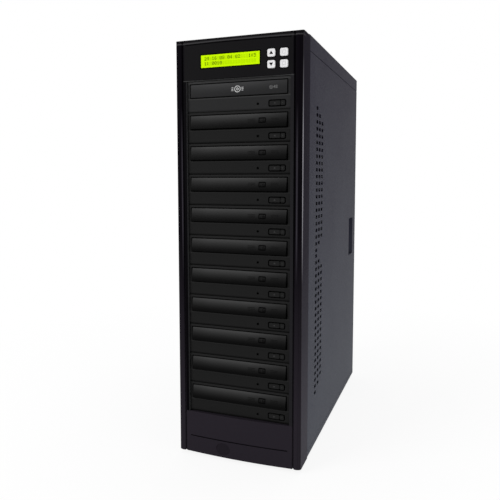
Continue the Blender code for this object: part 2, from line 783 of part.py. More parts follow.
def add_drives(tower, surfaces):
    """The reader on top and the writers below it, all hung from the stack's top."""
    eject = make_mesh("eject_button", eject_shape(), surfaces["eject"])
    kinds = {}
    for kind, drop, height, bulge in (
        ("reader", READER_TRAY_DROP, READER_TRAY_HEIGHT, READER_TRAY_BULGE),
        ("writer", WRITER_TRAY_DROP, WRITER_TRAY_HEIGHT, WRITER_TRAY_BULGE),
    ):
        kinds[kind] = (
            make_mesh(kind + "_drive", drive_shape(drop, height), surfaces["drive"]),
            make_mesh(kind + "_tray", tray_shape(drop, height, bulge), surfaces["tray"]),
        )
    for index in range(DRIVE_COUNT):
        drive, tray = kinds["writer" if index else "reader"]
        number = f"{index + 1:02d}"
        y = FACE_SET_BACK
        z = STACK_TOP - index * DRIVE_PITCH - (DRIVE_PITCH + FACE_HEIGHT) / 2
        place("drive_" + number, drive, tower, 0, y, z)
        place("tray_" + number, tray, tower, 0, y, z)
        place("eject_button_" + number, eject, tower, EJECT_X, y, z + EJECT_RISE)


# Steel frame and covers


def base_shape():
    """The floor pan, with its side flanges outside and its front flange behind the bezel."""
    floor = BASE_Z + SHEET
    section = [
        (-CASE_HALF, BASE_Z),
        (CASE_HALF, BASE_Z),
        (CASE_HALF, BASE_Z + BASE_FLANGE),
        (CASE_INNER_HALF, BASE_Z + BASE_FLANGE),
        (CASE_INNER_HALF, floor),
        (-CASE_INNER_HALF, floor),
        (-CASE_INNER_HALF, BASE_Z + BASE_FLANGE),
        (-CASE_HALF, BASE_Z + BASE_FLANGE),
    ]
    pan = prism(section, "Y", CASE_FRONT, CASE_DEPTH)
    front_half = CASE_INNER_HALF - PANEL_FRONT_FLANGE - GAP
    front = box(
        (-front_half, front_half),
        (CASE_FRONT, CASE_FRONT + SHEET),
        (BASE_Z + SHEET / 2, BASE_Z + BASE_FRONT_FLANGE),
    )
    return joined(pan, front)


def top_shape():
    under = TOP_Z - SHEET
    edge = TOP_Z - TOP_FLANGE
    section = [
        (-CASE_HALF, TOP_Z),
        (-CASE_HALF, edge),
        (-CASE_INNER_HALF, edge),
        (-CASE_INNER_HALF, under),
        (CASE_INNER_HALF, under),
        (CASE_INNER_HALF, edge),
        (CASE_HALF, edge),
        (CASE_HALF, TOP_Z),
    ]
    return prism(section, "Y", CASE_FRONT, CASE_DEPTH)


def vent_cutter():
    """Two blocks of slots on a straight grid, with their first and last rows stepped."""
    slots = []
    block_pitch = (VENT_ROWS - 1) * VENT_PITCH_Z + VENT_BLOCK_STEP
    for block in range(VENT_BLOCKS):
        for row in range(VENT_ROWS):
            across = min(VENT_COLUMNS, row + 1, VENT_ROWS - row)
            z = TOP_Z - VENT_DROP - block * block_pitch - row * VENT_PITCH_Z
            for column in range(across):
                y = VENT_FRONT + column * VENT_PITCH_Y
                slots.append(
                    box(
                        (CASE_INNER_HALF - OVERRUN, CASE_HALF + OVERRUN),
                        centred(y, VENT_LENGTH),
                        centred(z, VENT_HEIGHT),
                    )
                )
    return gathered(slots)


def pull_outline(mouth, skin):
    """A finger pull in plan, `skin` thick: a long slope in from the front and a steep rear wall."""
    rear = PULL_FRONT + PULL_LENGTH
    floor = CASE_HALF - PULL_DEPTH - skin
    floor_rear = rear - PULL_WALL_SLANT
    return [
        (mouth, PULL_FRONT - skin),
        (floor, floor_rear - skin / 2),
        (floor, floor_rear + skin),
        (mouth, rear + skin),
    ]


def side_shape():
    """The right side panel: a flat sheet with its flanges, hooks, vents and finger pull."""
    sheet = box(
        (CASE_INNER_HALF, CASE_HALF), (CASE_FRONT, FLANGE_REAR), (PANEL_BOTTOM, PANEL_TOP)
    )
    front = box(
        (CASE_INNER_HALF - PANEL_FRONT_FLANGE, CASE_INNER_HALF + SHEET / 2),
        (CASE_FRONT, CASE_FRONT + SHEET),
        (PANEL_BOTTOM, PANEL_TOP),
    )
    rear = box(
        (CASE_HALF - PANEL_REAR_FLANGE, CASE_INNER_HALF + SHEET / 2),
        (CASE_DEPTH + GAP, FLANGE_REAR),
        (PANEL_BOTTOM, PANEL_TOP),
    )
    hook_x = (CASE_INNER_HALF - GAP - SHEET, CASE_INNER_HALF - GAP)
    pad_x = (hook_x[0], CASE_INNER_HALF + SHEET / 2)
    flange_front = CASE_DEPTH - REAR_SIDE_FLANGE
    hook_y = (CASE_FRONT + HOOK_FRONT_INSET, flange_front - HOOK_STOP_GAP - PANEL_TRAVEL)
    hooks = []
    pads = []
    for edge, way in ((PANEL_TOP, 1), (PANEL_BOTTOM, -1)):
        lap = sorted((edge - way * HOOK_LAP, edge))
        reach = sorted((edge - way * HOOK_LAP / 2, edge + way * HOOK_HEIGHT))
        pads.append(box(pad_x, hook_y, lap))
        hooks.append(box(hook_x, hook_y, reach))
    body = joined(sheet, front, rear, *pads, *hooks)
    low, high = centred(PULL_Z, PULL_HEIGHT)
    middle = CASE_INNER_HALF + SHEET / 2
    cup = prism(pull_outline(middle, SHEET), "Z", low - SHEET, high + SHEET)
    hollow_outline = pull_outline(CASE_HALF, 0)
    ends = (hollow_outline[0], hollow_outline[-1])
    outside = [(CASE_HALF + OVERRUN, y) for _, y in reversed(ends)]
    hollow = prism(hollow_outline + outside, "Z", low, high)
    hole_x = CASE_HALF - SCREW_INSET_X
    holes = []
    for z in (PANEL_TOP - SCREW_INSET_Z, PANEL_BOTTOM + SCREW_INSET_Z):
        outline = circle((hole_x, z), SCREW_SHANK_RADIUS + SCREW_HOLE_GAP, POST_SIDES)
        holes.append(prism(outline, "Y", CASE_DEPTH, FLANGE_REAR + OVERRUN))
    return carved(joined(body, cup), hollow, vent_cutter(), gathered(holes))


def rear_shape():
    """The rear panel, with its power supply opening, fan grille and screw holes."""
    low = BASE_Z + SHEET + GAP
    high = TOP_Z - SHEET - GAP
    inner = REAR_HALF - SHEET
    front = CASE_DEPTH - REAR_SIDE_FLANGE
    section = [
        (-REAR_HALF, front),
        (-REAR_HALF, CASE_DEPTH),
        (REAR_HALF, CASE_DEPTH),
        (REAR_HALF, front),
        (inner, front),
        (inner, REAR_INNER),
        (-inner, REAR_INNER),
        (-inner, front),
    ]
    body = prism(section, "Z", low, high)
    through = (REAR_INNER - OVERRUN, CASE_DEPTH + OVERRUN)
    opening = box(
        centred(0, PSU_WIDTH - 2 * PSU_OPENING_MARGIN),
        through,
        centred(PSU_Z, PSU_HEIGHT - 2 * PSU_OPENING_MARGIN),
    )
    slots = []
    farthest = FAN_BORE_RADIUS - GRILLE_EDGE - GRILLE_SLOT_HEIGHT / 2
    rows = int(farthest / GRILLE_PITCH)
    for row in range(-rows, rows + 1):
        z = row * GRILLE_PITCH
        reach = abs(z) + GRILLE_SLOT_HEIGHT / 2
        half = math.sqrt(FAN_BORE_RADIUS**2 - reach**2)
        slots.append(box((-half, half), through, centred(FAN_Z + z, GRILLE_SLOT_HEIGHT)))
    holes = []
    for x in (-CASE_HALF + SCREW_INSET_X, CASE_HALF - SCREW_INSET_X):
        for z in (PANEL_TOP - SCREW_INSET_Z, PANEL_BOTTOM + SCREW_INSET_Z):
            outline = circle((x, z), SCREW_SHANK_RADIUS + SCREW_HOLE_GAP, POST_SIDES)
            holes.append(prism(outline, "Y", *through))
    return carved(body, opening, gathered(slots), gathered(holes))


def rail_shape():
    """The right bay rail: an upright channel with a screw slot for each drive."""
    rear = RAIL_FRONT + RAIL_DEPTH
    section = [
        (RAIL_INNER, RAIL_FRONT),
        (RAIL_OUTER, RAIL_FRONT),
        (RAIL_OUTER, RAIL_FRONT + SHEET),
        (RAIL_INNER + SHEET, RAIL_FRONT + SHEET),
        (RAIL_INNER + SHEET, rear - SHEET),
        (RAIL_OUTER, rear - SHEET),
        (RAIL_OUTER, rear),
        (RAIL_INNER, rear),
    ]
    body = prism(section, "Z", BASE_Z + SHEET + GAP, RAIL_TOP)
    slots = []
    for index in range(DRIVE_COUNT):
        z = STACK_TOP - (index + 1 / 2) * DRIVE_PITCH
        slots.append(
            box(
                (RAIL_INNER - OVERRUN, RAIL_INNER + SHEET + OVERRUN),
                centred(RAIL_FRONT + RAIL_DEPTH / 2, RAIL_SLOT_LENGTH),
                centred(z, RAIL_SLOT_HEIGHT),
            )
        )
    return carved(body, gathered(slots))


def controller_shape():
    """The controller board on the rails' shelves, with one socket for each drive along its back."""
    bottom = RAIL_TOP + GAP
    top = bottom + BOARD_THICKNESS
    y = centred(RAIL_FRONT + RAIL_DEPTH / 2, CONTROLLER_DEPTH)
    half = RAIL_OUTER - CONTROLLER_SIDE_GAP
    board = box((-half, half), y, (bottom, top))
    inside = bottom + BOARD_THICKNESS / 2
    parts = []
    socket_back = y[1] - CONNECTOR_INSET
    for index in range(DRIVE_COUNT):
        x = (index - (DRIVE_COUNT - 1) / 2) * CONNECTOR_PITCH
        parts.append(
            box(
                centred(x, CONNECTOR_WIDTH),
                (socket_back - CONNECTOR_DEPTH, socket_back),
                (inside, top + CONNECTOR_HEIGHT),
            )
        )
    middle = y[0] + HEATSINK_Y_SHARE * CONTROLLER_DEPTH
    sink_x = -HEATSINK_X_SHARE * half
    parts.append(
        box(
            centred(sink_x, HEATSINK_SIZE),
            centred(middle, HEATSINK_SIZE),
            (inside, top + HEATSINK_HEIGHT),
        )
    )
    memory_x = sink_x + HEATSINK_SIZE / 2 + MEMORY_WIDTH / 2 + CONNECTOR_INSET
    parts.append(
        box(
            centred(memory_x, MEMORY_WIDTH),
            centred(middle, MEMORY_DEPTH),
            (inside, top + MEMORY_HEIGHT),
        )
    )
    return joined(board, gathered(parts))


# Power supply and fans


def sector(centre, inner, outer, start, end, steps):
    """A ring sector outline between two radii and two angles."""
    points = []
    for radius, first, last in ((outer, start, end), (inner, end, start)):
        for step in range(steps + 1):
            turn = first + (last - first) * step / steps
            x = centre[0] + radius * math.cos(turn)
            points.append((x, centre[1] + radius * math.sin(turn)))
    return points


def psu_shape():
    """The power supply: a vented hollow case with a fan grille, a mains inlet and a switch well."""
    front = PSU_REAR - PSU_DEPTH
    low, high = centred(PSU_Z, PSU_HEIGHT)
    half = PSU_WIDTH / 2
    body = box((-half, half), (front, PSU_REAR), (low, high))
    hollow = box(
        (-half + SHEET, half - SHEET),
        (front + SHEET, PSU_REAR - SHEET),
        (low + SHEET, high - SHEET),
    )
    through = (PSU_REAR - SHEET - OVERRUN, PSU_REAR + OVERRUN)
    spoke = PSU_SPOKE_WIDTH / PSU_FAN_RADIUS
    grille = gathered(
        [
            prism(
                sector(
                    (PSU_FAN_X, PSU_Z),
                    PSU_HUB_RADIUS,
                    PSU_FAN_RADIUS,
                    math.pi / 2 * quarter + spoke,
                    math.pi / 2 * (quarter + 1) - spoke,
                    RIB_STEPS,
                ),
                "Y",
                *through,
            )
            for quarter in range(4)
        ]
    )
    intakes = gathered(
        [
            box(
                centred(
                    (index - (PSU_INTAKE_SLOTS - 1) / 2) * PSU_INTAKE_PITCH, PSU_INTAKE_WIDTH
                ),
                (front - OVERRUN, front + SHEET + OVERRUN),
                centred(PSU_Z, PSU_INTAKE_LENGTH),
            )
            for index in range(PSU_INTAKE_SLOTS)
        ]
    )
    inlet_z = PSU_Z + INLET_Z
    inlet_block = box(
        centred(INLET_X, INLET_WIDTH + 2 * INLET_WALL),
        (PSU_REAR - INLET_DEPTH - INLET_WALL, PSU_REAR),
        centred(inlet_z, INLET_HEIGHT + 2 * INLET_WALL),
    )
    inlet = box(
        centred(INLET_X, INLET_WIDTH),
        (PSU_REAR - INLET_DEPTH, PSU_REAR + OVERRUN),
        centred(inlet_z, INLET_HEIGHT),
    )
    rocker_z = PSU_Z + ROCKER_Z
    well_width = ROCKER_WIDTH + 2 * RUN_GAP
    well_height = ROCKER_HEIGHT + 2 * RUN_GAP
    housing = box(
        centred(INLET_X, well_width + 2 * ROCKER_HOUSING_WALL),
        (PSU_REAR - ROCKER_HOUSING_DEPTH - ROCKER_HOUSING_WALL, PSU_REAR),
        centred(rocker_z, well_height + 2 * ROCKER_HOUSING_WALL),
    )
    well = box(
        centred(INLET_X, well_width),
        (PSU_REAR - ROCKER_HOUSING_DEPTH, PSU_REAR + OVERRUN),
        centred(rocker_z, well_height),
    )
    body = joined(carved(body, hollow), inlet_block, housing)
    return carved(body, grille, intakes, inlet, well)


def rocker_shape():
    """The mains rocker about its pivot, tipped to one side, with its two pivot pins."""
    half = ROCKER_HEIGHT / 2
    rise = half * math.tan(ROCKER_TILT)
    face = ROCKER_PROUD + ROCKER_PIVOT_DEPTH
    back = face - ROCKER_BODY_DEPTH
    outline = [
        (back, -half + rise),
        (back, half - rise),
        (face - rise, half),
        (face - rise - rise, 0),
        (face - rise, -half),
    ]
    turned_outline = []
    for y, z in outline:
        turned_outline.append(
            (
                y * math.cos(ROCKER_TILT) - z * math.sin(ROCKER_TILT),
                y * math.sin(ROCKER_TILT) + z * math.cos(ROCKER_TILT),
            )
        )
    body = prism(turned_outline, "X", *centred(0, ROCKER_WIDTH))
    pin_length = ROCKER_WIDTH + 2 * (RUN_GAP - GAP)
    pin = prism(circle((0, 0), ROCKER_PIN_RADIUS, POST_SIDES), "X", *centred(0, pin_length))
    return joined(body, pin)


def blade(root, tip, depth):
    """One fan blade along +X, its pitch easing from root to tip."""
    rings = []
    for radius, pitch in ((root, BLADE_ROOT_PITCH), (tip, BLADE_TIP_PITCH)):
        reach_y = depth / 2
        reach_z = depth / 2 / math.tan(pitch)
        skin_y = BLADE_THICKNESS / 2 * math.cos(pitch)
        skin_z = BLADE_THICKNESS / 2 * math.sin(pitch)
        x = math.sqrt(radius**2 - (reach_z + skin_z) ** 2)
        rings.append(
            [
                (x, reach_y - skin_y, reach_z + skin_z),
                (x, reach_y + skin_y, reach_z - skin_z),
                (x, -reach_y + skin_y, -reach_z - skin_z),
                (x, -reach_y - skin_y, -reach_z + skin_z),
            ]
        )
    shape = loft(rings)
    bmesh.ops.triangulate(shape, faces=shape.faces)
    return shape


def rotor_shape(hub_radius, tip_radius, depth):
    """A fan rotor about its axis, from Y = 0 at the front of its hub."""
    hub = prism(circle((0, 0), hub_radius, HUB_SIDES), "Y", 0, depth)
    for index in range(BLADE_COUNT):
        vane = blade(hub_radius - BLADE_THICKNESS, tip_radius, depth - 2 * BLADE_THICKNESS)
        turn = math.tau * index / BLADE_COUNT
        for vertex in vane.verts:
            x, y, z = vertex.co
            vertex.co = (
                x * math.cos(turn) - z * math.sin(turn),
                y + depth / 2,
                x * math.sin(turn) + z * math.cos(turn),
            )
        hub = joined(hub, vane)
    return hub


def fan_frame_shape():
    """The exhaust fan's square frame, with a strut cross that carries the motor at its front."""
    rear = REAR_INNER - GAP
    front = rear - FAN_DEPTH
    body = box(centred(0, FAN_SIZE), (front, rear), centred(FAN_Z, FAN_SIZE))
    bore = prism(
        circle((0, FAN_Z), FAN_BORE_RADIUS, FAN_SIDES), "Y", front - OVERRUN, rear + OVERRUN
    )
    strut_y = (front, front + FAN_STRUT_THICKNESS)
    reach = FAN_BORE_RADIUS + FAN_STRUT_WIDTH / 2
    hub = prism(circle((0, FAN_Z), FAN_HUB_RADIUS, HUB_SIDES), "Y", *strut_y)
    across = box((-reach, reach), strut_y, centred(FAN_Z, FAN_STRUT_WIDTH))
    upright = box(centred(0, FAN_STRUT_WIDTH), strut_y, (FAN_Z - reach, FAN_Z + reach))
    return joined(carved(body, bore), joined(hub, across, upright))


# Feet and thumbscrews


def foot_shape():
    rings = []
    for radius, z in ((FOOT_RADIUS - FOOT_TAPER, 0), (FOOT_RADIUS, FOOT_HEIGHT - GAP)):
        rings.append([turned("Z", z, point) for point in circle((0, 0), radius, FOOT_SIDES)])
    return loft(rings)


def screw_shape():
    """A thumbscrew about its head's front face, with its shank forwards."""
    rows = [
        (SCREW_SHANK_RADIUS, -SCREW_SHANK_LENGTH),
        (SCREW_SHANK_RADIUS, 0),
        (SCREW_HEAD_RADIUS, 0),
        (SCREW_HEAD_RADIUS, SCREW_HEAD_LENGTH - SCREW_HEAD_CROWN),
        (SCREW_HEAD_RADIUS - SCREW_HEAD_CROWN, SCREW_HEAD_LENGTH),
    ]
    return loft(
        [[turned("Y", y, point) for point in circle((0, 0), r, SCREW_SIDES)] for r, y in rows]
    )


# Assembly


def clear_scene():
    for item in list(bpy.data.objects):
        bpy.data.objects.remove(item)


def add_front(tower, surfaces):
    node("front_bezel", bezel_shape(), surfaces["bezel"], tower)
    node("display_board", display_shape(), surfaces["lcd"], tower)
    names = {
        (0, 1): "key_up",
        (0, -1): "key_down",
        (1, 1): "key_enter",
        (1, -1): "key_escape",
    }
    for (column, row), name in names.items():
        x = key_column_x(column)
        z = KEY_ROWS_Z + row * KEY_PITCH_Z / 2
        node(name, key_shape(column), surfaces["key"], tower, x, 0, z)


def add_case(tower, surfaces):
    node("base_pan", base_shape(), surfaces["case"], tower)
    node("top_cover", top_shape(), surfaces["case"], tower)
    node("rear_panel", rear_shape(), surfaces["steel"], tower)
    side = side_shape()
    node("side_panel_left", mirrored(side), surfaces["case"], tower)
    node("side_panel_right", side, surfaces["case"], tower)
    rail = rail_shape()
    node("bay_rail_left", mirrored(rail), surfaces["steel"], tower)
    node("bay_rail_right", rail, surfaces["steel"], tower)
    foot = make_mesh("foot", foot_shape(), surfaces["rubber"])
    screw = make_mesh("thumbscrew", screw_shape(), surfaces["screw"])
    foot_x = BODY_HALF - FOOT_INSET_X
    screw_x = CASE_HALF - SCREW_INSET_X
    foot_rear = CASE_DEPTH - FOOT_REAR_INSET
    for side_name, way in (("left", -1), ("right", 1)):
        place("foot_front_" + side_name, foot, tower, way * foot_x, FOOT_FRONT, 0)
        place("foot_rear_" + side_name, foot, tower, way * foot_x, foot_rear, 0)
        for level, z in (
            ("upper", PANEL_TOP - SCREW_INSET_Z),
            ("lower", PANEL_BOTTOM + SCREW_INSET_Z),
        ):
            name = f"thumbscrew_{level}_{side_name}"
            place(name, screw, tower, way * screw_x, FLANGE_REAR + GAP, z)


def add_insides(tower, surfaces):
    node("controller_board", controller_shape(), surfaces["board"], tower)
    node("psu_case", psu_shape(), surfaces["steel"], tower)
    psu_rotor_depth = FAN_DEPTH - FAN_STRUT_THICKNESS - 2 * GAP
    psu_rotor = rotor_shape(PSU_HUB_RADIUS, PSU_FAN_RADIUS - BLADE_TIP_GAP, psu_rotor_depth)
    psu_rotor_y = PSU_REAR - SHEET - GAP - psu_rotor_depth
    node("psu_fan", psu_rotor, surfaces["fan"], tower, PSU_FAN_X, psu_rotor_y, PSU_Z)
    rocker_y = PSU_REAR - ROCKER_PIVOT_DEPTH
    rocker_z = PSU_Z + ROCKER_Z
    node("psu_switch", rocker_shape(), surfaces["switch"], tower, INLET_X, rocker_y, rocker_z)
    node("fan_frame", fan_frame_shape(), surfaces["fan"], tower)
    rotor_y = REAR_INNER - GAP - FAN_DEPTH + FAN_STRUT_THICKNESS + GAP
    rotor_depth = FAN_DEPTH - FAN_STRUT_THICKNESS - 2 * GAP
    rotor = rotor_shape(FAN_HUB_RADIUS, FAN_BORE_RADIUS - BLADE_TIP_GAP, rotor_depth)
    node("fan_rotor", rotor, surfaces["fan"], tower, 0, rotor_y, FAN_Z)


def main():
    clear_scene()
    tower = bpy.data.objects.new("tower", None)
    tower.location = (0, TOWER_Y, 0)
    bpy.context.scene.collection.objects.link(tower)
    surfaces = make_materials()
    add_front(tower, surfaces)
    add_drives(tower, surfaces)
    add_case(tower, surfaces)
    add_insides(tower, surfaces)


main()
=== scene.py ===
# The looks of a disc duplicator tower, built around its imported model. Units are metres.
# Places are written as in the model's source: X across, Y back from the front plane of the
# bezel's pillars and Z up from the surface that the feet stand on.

import json
import math

import bmesh
import bpy
from mathutils import Matrix, Vector
from mathutils.geometry import delaunay_2d_cdt

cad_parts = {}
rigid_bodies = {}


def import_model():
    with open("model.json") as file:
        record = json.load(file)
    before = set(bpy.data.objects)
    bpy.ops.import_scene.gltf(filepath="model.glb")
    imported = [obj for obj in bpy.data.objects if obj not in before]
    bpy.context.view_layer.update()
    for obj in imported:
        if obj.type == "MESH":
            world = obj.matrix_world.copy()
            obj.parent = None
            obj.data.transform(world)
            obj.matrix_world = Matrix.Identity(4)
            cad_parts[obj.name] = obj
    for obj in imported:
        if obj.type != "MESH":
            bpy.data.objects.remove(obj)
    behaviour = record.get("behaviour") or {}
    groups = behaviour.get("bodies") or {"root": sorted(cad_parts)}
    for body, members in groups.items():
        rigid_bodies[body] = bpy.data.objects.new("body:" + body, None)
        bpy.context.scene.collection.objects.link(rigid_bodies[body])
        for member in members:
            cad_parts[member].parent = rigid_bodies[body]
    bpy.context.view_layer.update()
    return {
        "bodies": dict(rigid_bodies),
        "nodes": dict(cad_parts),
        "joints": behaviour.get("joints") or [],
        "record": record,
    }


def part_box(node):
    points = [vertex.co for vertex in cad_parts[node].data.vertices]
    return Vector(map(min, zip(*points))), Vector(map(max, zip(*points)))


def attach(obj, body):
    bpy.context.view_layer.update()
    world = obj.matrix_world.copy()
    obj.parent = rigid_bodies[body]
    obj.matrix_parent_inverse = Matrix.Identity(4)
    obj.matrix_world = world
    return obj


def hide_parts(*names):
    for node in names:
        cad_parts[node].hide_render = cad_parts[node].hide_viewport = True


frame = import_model()

# Clearances and sheet
GAP = 0.0003
RUN_GAP = 0.0005
OVERRUN = 0.002
SHEET = 0.001
BEND_RADIUS = 0.0016
BEND_STEPS = 5
MERGE = 1e-7
FLAT_ANGLE = math.radians(0.5)
CORNER_ANGLE = math.radians(32)
SHARP_ANGLE = math.radians(50)
EDGE_STEPS = 2
HARD_EDGE = 0.0001
FINE_EDGE = 0.0002
SHEET_EDGE = 0.00025
EDGE = 0.0003
SOFT_EDGE = 0.0004
FASCIA_EDGE = 0.0005
NUMERAL_SHARE = 0.7
NUMERAL_STEPS = 3

# Front bezel
BEZEL_DEPTH = 0.036
BEZEL_WALL = 0.0025
PILLAR_WIDTH = 0.0155
PILLAR_DEPTH = 0.0075
PANEL_BOW = 0.003
PANEL_SET = 0.0005
TOP_SWEEP_DROP = 0.006
CORNER_RADIUS = 0.004
LIP_WIDTH = 0.0034
GROOVE_WIDTH = 0.0022
GROOVE_DEPTH = 0.0024
RIB_HEIGHT = 0.0008
BADGE_X = -0.0215
BADGE_RISE = 0.012
BADGE_WIDTH = 0.021
BADGE_HEIGHT = 0.017
BADGE_SINK = 0.0008
FOOTER_SEAM_RISE = 0.0243
SEAM_WIDTH = 0.0014
SEAM_DEPTH = 0.0012
TOP_GROOVE_DROP = 0.0099
TOP_GROOVE_WIDTH = 0.0016
TOP_GROOVE_DEPTH = 0.001
LINER_FRONT = 0.0003
LINER_BACK = 0.0042
BOW_STEPS = 24
RIB_STEPS = 12
CORNER_STEPS = 8
SWEEP_STEPS = 14
ROUND_STEPS = 6
CAP_STEPS = 4
PIN_SIDES = 20
HEAD_SIDES = 24
RING_SIDES = 40
HUB_SIDES = 64
BADGE_SIDES = 48

# Display
LCD_X = -0.009
LCD_DROP_SHARE = 0.579
LCD_WIDTH = 0.0845
LCD_HEIGHT = 0.0168
LCD_GLASS_SET = 0.0006
LCD_RIM_PROUD = 0.0002
WINDOW_MARGIN = 0.0013
LCD_FRAME_MARGIN = 0.0045
LCD_FRAME_CORNER = 0.001
LCD_COLUMNS = 20
LCD_CELL_PITCH = 0.00375
LCD_ROW_PITCH = 0.0066
LCD_DOT = 0.00058
LCD_DOT_PITCH = 0.00064
LCD_CELL_DOTS = (5, 8)
LCD_INK = 0.00006
BOARD_THICKNESS = 0.0016
POST_RADIUS = 0.0016
POST_INSET = 0.003
SWITCH_SIZE = 0.006
SWITCH_SET = 0.0022
SWITCH_STEM = (0.0012, 0.0025)
SWITCH_STEM_RADIUS = 0.0017

# Keys
KEY_WIDTH = 0.0107
KEY_HEIGHT = 0.0101
KEY_RADIUS = 0.0022
KEY_LEAST_RADIUS = 0.0006
KEY_HOLE_GAP = 0.001
KEY_RIM_SET = 0.0003
KEY_RIM_DEPTH = 0.0015
KEY_PROUD = 0.0014
KEY_FLANGE = 0.0014
KEY_FLANGE_THICKNESS = 0.001
KEY_EDGE = 0.0009
KEY_DISH = 0.0002
KEY_DISH_RUN = 0.0016
SIGN_SIZE = 0.0054
SIGN_RING = 0.0006
SIGN_CORNER = 0.0001
SIGN_FOOT_SHARE = 0.7
SIGN_TOP_SHARE = 0.9

# Optical drives
FACE_THICKNESS = 0.005
FACE_SET_BACK = 0.0035
FACE_HEIGHT = 0.042
FACE_WIDTH = 0.149
FACE_CORNER = 0.0009
TRAY_GAP = 0.0013
TRIM_CLEARANCE = 0.00015
TRIM_SET = 0.0003
FACE_HEADROOM = 0.0008
DRIVE_PITCH = 0.0425
DRIVE_CASE_WIDTH = 0.146
DRIVE_CASE_HEIGHT = 0.0413
DRIVE_CASE_DEPTH = 0.17
DRIVE_CASE_CORNER = 0.0012
DRIVE_WALL = 0.001
TRAY_WIDTH = 0.1392
TRAY_PLATE_WIDTH = 0.132
TRAY_PLATE_LENGTH = 0.155
TRAY_PLATE_THICKNESS = 0.005
TRAY_PLATE_RISE = 0.004
TRAY_PLATE_CORNER = 0.001
FASCIA_THICKNESS = 0.003
FASCIA_STEPS = 14
TRAY_EDGE_PROUD = 0.0002
WELL_RADIUS = 0.061
WELL_FRONT_RIM = 0.0075
WELL_DEPTH = 0.0022
SMALL_WELL_RADIUS = 0.041
SMALL_WELL_DEPTH = 0.001
WELL_SIDES = 96
SPINDLE_SLOT_WIDTH = 0.038
LEDGE_LAP = 0.003
LEDGE_THICKNESS = 0.0015
TRAY_FORMS = {"reader": (0.02, 0.0375, 0.0008), "writer": (0.0194, 0.0376, 0.003)}
EJECT_X = 0.0526
EJECT_RISE = 0.0079
EJECT_WIDTH = 0.0152
EJECT_HEIGHT = 0.0064
EJECT_RADIUS = 0.0016
EJECT_PROUD = 0.0004
EJECT_FLANGE = 0.001
EJECT_FLANGE_THICKNESS = 0.001
EJECT_EDGE = 0.0007
EJECT_LEAST_SHARE = 0.3
ARROW_WIDTH = 0.0022
ARROW_SPAN = (-0.0001, 0.0012)
ARROW_BAR = (-0.0009, -0.0005)
RECESS_WIDTH = 0.0246
RECESS_HEIGHT = 0.0094
RECESS_MARGIN = 0.0015
RECESS_DEPTH = 0.001
RECESS_RADIUS = 0.0026
LED_RADIUS = 0.0008
LENS_RINGS = ((0.4, 1), (0.8, 0.8), (1, 0.5), (1, 0))
RELEASE_X = 0.0288
RELEASE_RADIUS = 0.0013
RELEASE_RIM = 0.0004
PRINT = 0.00005
MARK_PITCH = 0.0019
MARK_FRAME_WIDTH = 0.0104
MARK_FRAME_HEIGHT = 0.0074
MARK_FRAME_LINE = 0.0015
MARK_NUMBER_HEIGHT = 0.0048
MARK_FRAME_X = 0.0357
MARK_LEFT_X = 0.0203
MARK_RIGHT_X = 0.0532
MARK_FAINT_WIDTH = 0.0105
MARK_FRAME_CORNERS = (0.0014, 0.0006)
MARK_LINES = 3
MARK_LINE_SHARE = 0.4
RING_SHARES = ((1, 0.78), (0.42, 0.22))
DISC_RADIUS = 0.0045
DISC_LINES_X = 0.0072
DISC_LINES_WIDTH = 0.003
READER_NUMBER_X = 0.0535
READER_NUMBER_HEIGHT = 0.0042
READER_RING_X = 0.0475
READER_RING_RADIUS = 0.0024

# Folded panels
CASE_DEPTH = 0.405
TOP_FLANGE = 0.0215
BASE_FLANGE = 0.0095
BASE_FRONT_FLANGE = 0.012
PANEL_FRONT_FLANGE = 0.009
PANEL_REAR_FLANGE = 0.0125
HOOK_FRONT_INSET = 0.01
HOOK_REAR_INSET = 0.018
HOOK_HEIGHT = 0.0065
HOOK_LAP = 0.006
REAR_SIDE_FLANGE = 0.012
VENT_FRONT = 0.081
VENT_PITCH_Y = 0.016
VENT_PITCH_Z = 0.0097
VENT_LENGTH = 0.0102
VENT_HEIGHT = 0.0048
VENT_CORNER = 0.0012
VENT_DROP = 0.092
VENT_BLOCK_STEP = 0.0081
VENT_BLOCKS = 2
VENT_ROWS = 22
VENT_COLUMNS = 3
PULL_FRONT = 0.34
PULL_LENGTH = 0.038
PULL_WALL_SLANT = 0.003
PULL_DEPTH = 0.0105
PULL_HEIGHT = 0.07
PULL_DROP = 0.3015
PULL_CORNER = 0.005
HOLE_RADIUS = 0.002
SCREW_INSET_X = 0.0065
SCREW_INSET_Z = 0.045
FAN_HEAD = (0.0032, 0.0004, 0.0009)
SUPPLY_HEAD = (0.003, 0.0005, 0.001)
HEAD_SLOPE = 0.001

# Power supply and fans
PSU_WIDTH = 0.15
PSU_HEIGHT = 0.086
PSU_DEPTH = 0.14
PSU_Z = 0.524
PSU_CORNER = 0.0014
PSU_OPENING_MARGIN = 0.004
PSU_OPENING_CORNER = 0.002
PSU_SCREW = (0.04365, -0.0333)
INTAKE_COUNT = 9
INTAKE_PITCH = 0.012
INTAKE_WIDTH = 0.004
INTAKE_HEIGHT = 0.05
INTAKE_CORNER = 0.0019
PSU_FAN_X = -0.03
PSU_FAN_RADIUS = 0.037
PSU_HUB_RADIUS = 0.015
PSU_RINGS = 4
PSU_RING_WIRE = 0.0016
PSU_SPOKE_WIDTH = 0.004
GRILLE_STEPS = 14
INLET_X = 0.046
INLET_RISE = 0.018
INLET_WIDTH = 0.0245
INLET_HEIGHT = 0.0168
INLET_DEPTH = 0.0165
INLET_FRAME = 0.0018
INLET_CLIP = 0.0048
INLET_RIM = (0.003, 0.002)
INLET_RIM_CORNER = 0.0016
INLET_RIM_PROUD = 0.001
INLET_PINS = ((-0.007, -0.001), (0.007, -0.001), (0, 0.003))
PIN_WIDTH = 0.002
PIN_HEIGHT = 0.004
PIN_SET = 0.0025
ROCKER_DROP = 0.02
ROCKER_WIDTH = 0.0118
ROCKER_HEIGHT = 0.0178
